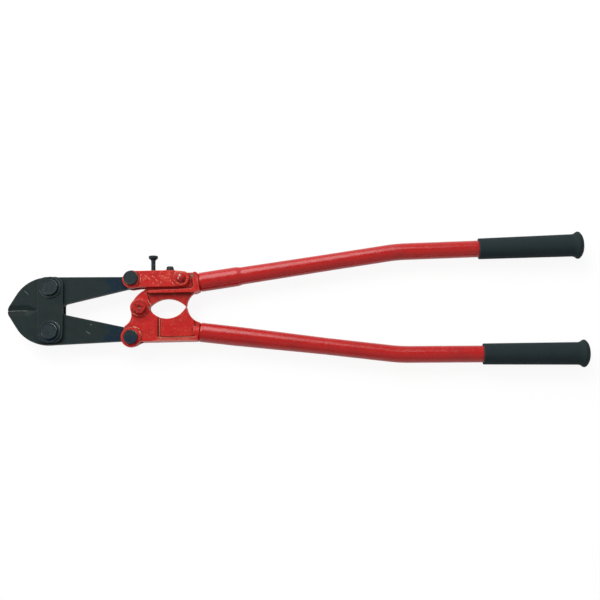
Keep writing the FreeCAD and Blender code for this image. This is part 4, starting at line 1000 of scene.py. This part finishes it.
def make_grip(side, node):
    """A rubber sleeve with a rolled mouth, a flared flange and a domed end."""
    place, heading = handle_line(side, GRIP_START)
    inner_end = GRIP_LENGTH - GRIP_END_WALL
    corners = [(GRIP_BORE_RADIUS, 0.0, 0.0), (GRIP_MOUTH_RADIUS, 0.0, 0.7)]
    for k in range(1, GRIP_ROWS):
        share = k / GRIP_ROWS
        radius = GRIP_MOUTH_RADIUS + (GRIP_WAIST_RADIUS - GRIP_MOUTH_RADIUS) * share
        corners.append((radius, GRIP_WAIST_RUN * share, 0.0))
    corners += [(radius, run, 0.0) for run, radius in grip_end_line()]
    corners += [(0.0, GRIP_LENGTH, 0.0), (0.0, inner_end, 0.0)]
    corners += [(GRIP_BORE_RADIUS, inner_end, 0.0), (GRIP_BORE_RADIUS, 0.0, 0.0)]
    lathe(node, place, corners, axis=heading, sides=HANDLE_SIDES)


# ---------------------------------------------------------------- floor and light

FLOOR_HALF_M = 60.0
WALL_HEIGHT_M = 20.0
FLOOR_DROP = 0.2
FLOOR_GLOW = 0.9
FLOOR_GREY = 0.75
SHADOW_GREY = 0.12
ROOM_LEVEL = 0.37
# The lamps' places and sizes are in metres.
LIT_PLACE = pivot + Vector((0.15, 0.0, 0.0))
KEY_PLACE, KEY_SIZE, KEY_WATTS = pivot + Vector((-0.4, 1.12, 1.12)), (1.8, 1.3), 35.0
FILL_PLACE, FILL_SIZE, FILL_WATTS = pivot + Vector((0.9, -0.8, 1.3)), (2.4, 2.4), 4.0


def floor_mesh():
    """A flat square whose border is raised as walls.

    The lowest views still show a strip of the plain room above them.
    """
    mesh = bpy.data.meshes.new("floor")
    work = bmesh.new()
    bmesh.ops.create_grid(work, x_segments=1, y_segments=1, size=FLOOR_HALF_M)
    border = [edge for edge in work.edges if edge.is_boundary]
    raised = bmesh.ops.extrude_edge_only(work, edges=border)["geom"]
    rim = [part for part in raised if isinstance(part, bmesh.types.BMVert)]
    bmesh.ops.translate(work, verts=rim, vec=(0.0, 0.0, WALL_HEIGHT_M))
    work.to_mesh(mesh)
    work.free()
    return mesh


def floor_white():
    """Matt white to falling light. Seen or reflected, it glows white under a faint shadow."""
    material = bpy.data.materials.new("floor_white")
    material.use_nodes = True
    tree = material.node_tree
    tree.nodes.clear()
    path, glow, faint, matt, over, mix, out = (tree.nodes.new("ShaderNode" + kind) for kind in (
        "LightPath", "Emission", "BsdfDiffuse", "BsdfDiffuse", "AddShader", "MixShader",
        "OutputMaterial"))
    glow.inputs["Strength"].default_value = FLOOR_GLOW
    faint.inputs["Color"].default_value = (SHADOW_GREY, SHADOW_GREY, SHADOW_GREY, 1)
    matt.inputs["Color"].default_value = (FLOOR_GREY, FLOOR_GREY, FLOOR_GREY, 1)
    seen = path.outputs["Is Camera Ray"]
    for other in ("Is Glossy Ray", "Is Transmission Ray"):
        either = tree.nodes.new("ShaderNodeMath")
        either.operation = "MAXIMUM"
        tree.links.new(seen, either.inputs[0])
        tree.links.new(path.outputs[other], either.inputs[1])
        seen = either.outputs[0]
    tree.links.new(glow.outputs[0], over.inputs[0])
    tree.links.new(faint.outputs[0], over.inputs[1])
    tree.links.new(seen, mix.inputs[0])
    tree.links.new(matt.outputs[0], mix.inputs[1])
    tree.links.new(over.outputs[0], mix.inputs[2])
    tree.links.new(mix.outputs[0], out.inputs[0])
    return material


def add_floor():
    """The floor lies a hair under the tool, which keeps its shadow on it."""
    floor = bpy.data.objects.new("floor", floor_mesh())
    scene.collection.objects.link(floor)
    floor.location = (pivot.x, pivot.y, cad_box[0][2] - FLOOR_DROP * MM)
    floor.data.materials.append(floor_white())


def add_world(level):
    """A plain pale room of one soft level."""
    world = bpy.data.worlds.new("studio")
    scene.world = world
    world.use_nodes = True
    background = world.node_tree.nodes["Background"]
    background.inputs["Color"].default_value = (1, 1, 1, 1)
    background.inputs["Strength"].default_value = level


def add_lamp(name, place, size, watts):
    """A soft box that points at the tool."""
    data = bpy.data.lights.new(name, "AREA")
    data.shape = "RECTANGLE"
    data.size, data.size_y = size
    data.energy = watts
    lamp = bpy.data.objects.new(name, data)
    scene.collection.objects.link(lamp)
    lamp.location = place
    lamp.rotation_euler = (place - LIT_PLACE).to_track_quat("Z", "Y").to_euler()


def coat_plain_nodes():
    """The nodes that are shown as they are take their material too."""
    for name, node in nodes.items():
        if not node.hide_render:
            node.data.materials.clear()
            node.data.materials.append(finishes[slots[name]])


finishes = make_finishes()
add_camera()
add_floor()
add_world(ROOM_LEVEL)
add_lamp("key", KEY_PLACE, KEY_SIZE, KEY_WATTS)
add_lamp("fill", FILL_PLACE, FILL_SIZE, FILL_WATTS)
make_heavy_pieces()
make_turned_pieces()
make_tube(1, "upper_handle_tube", UPPER_RADII)
make_tube(-1, "lower_handle_tube", LOWER_RADII)
make_grip(1, "upper_grip")
make_grip(-1, "lower_grip")
coat_plain_nodes()
scene.view_settings.view_transform = "Standard"
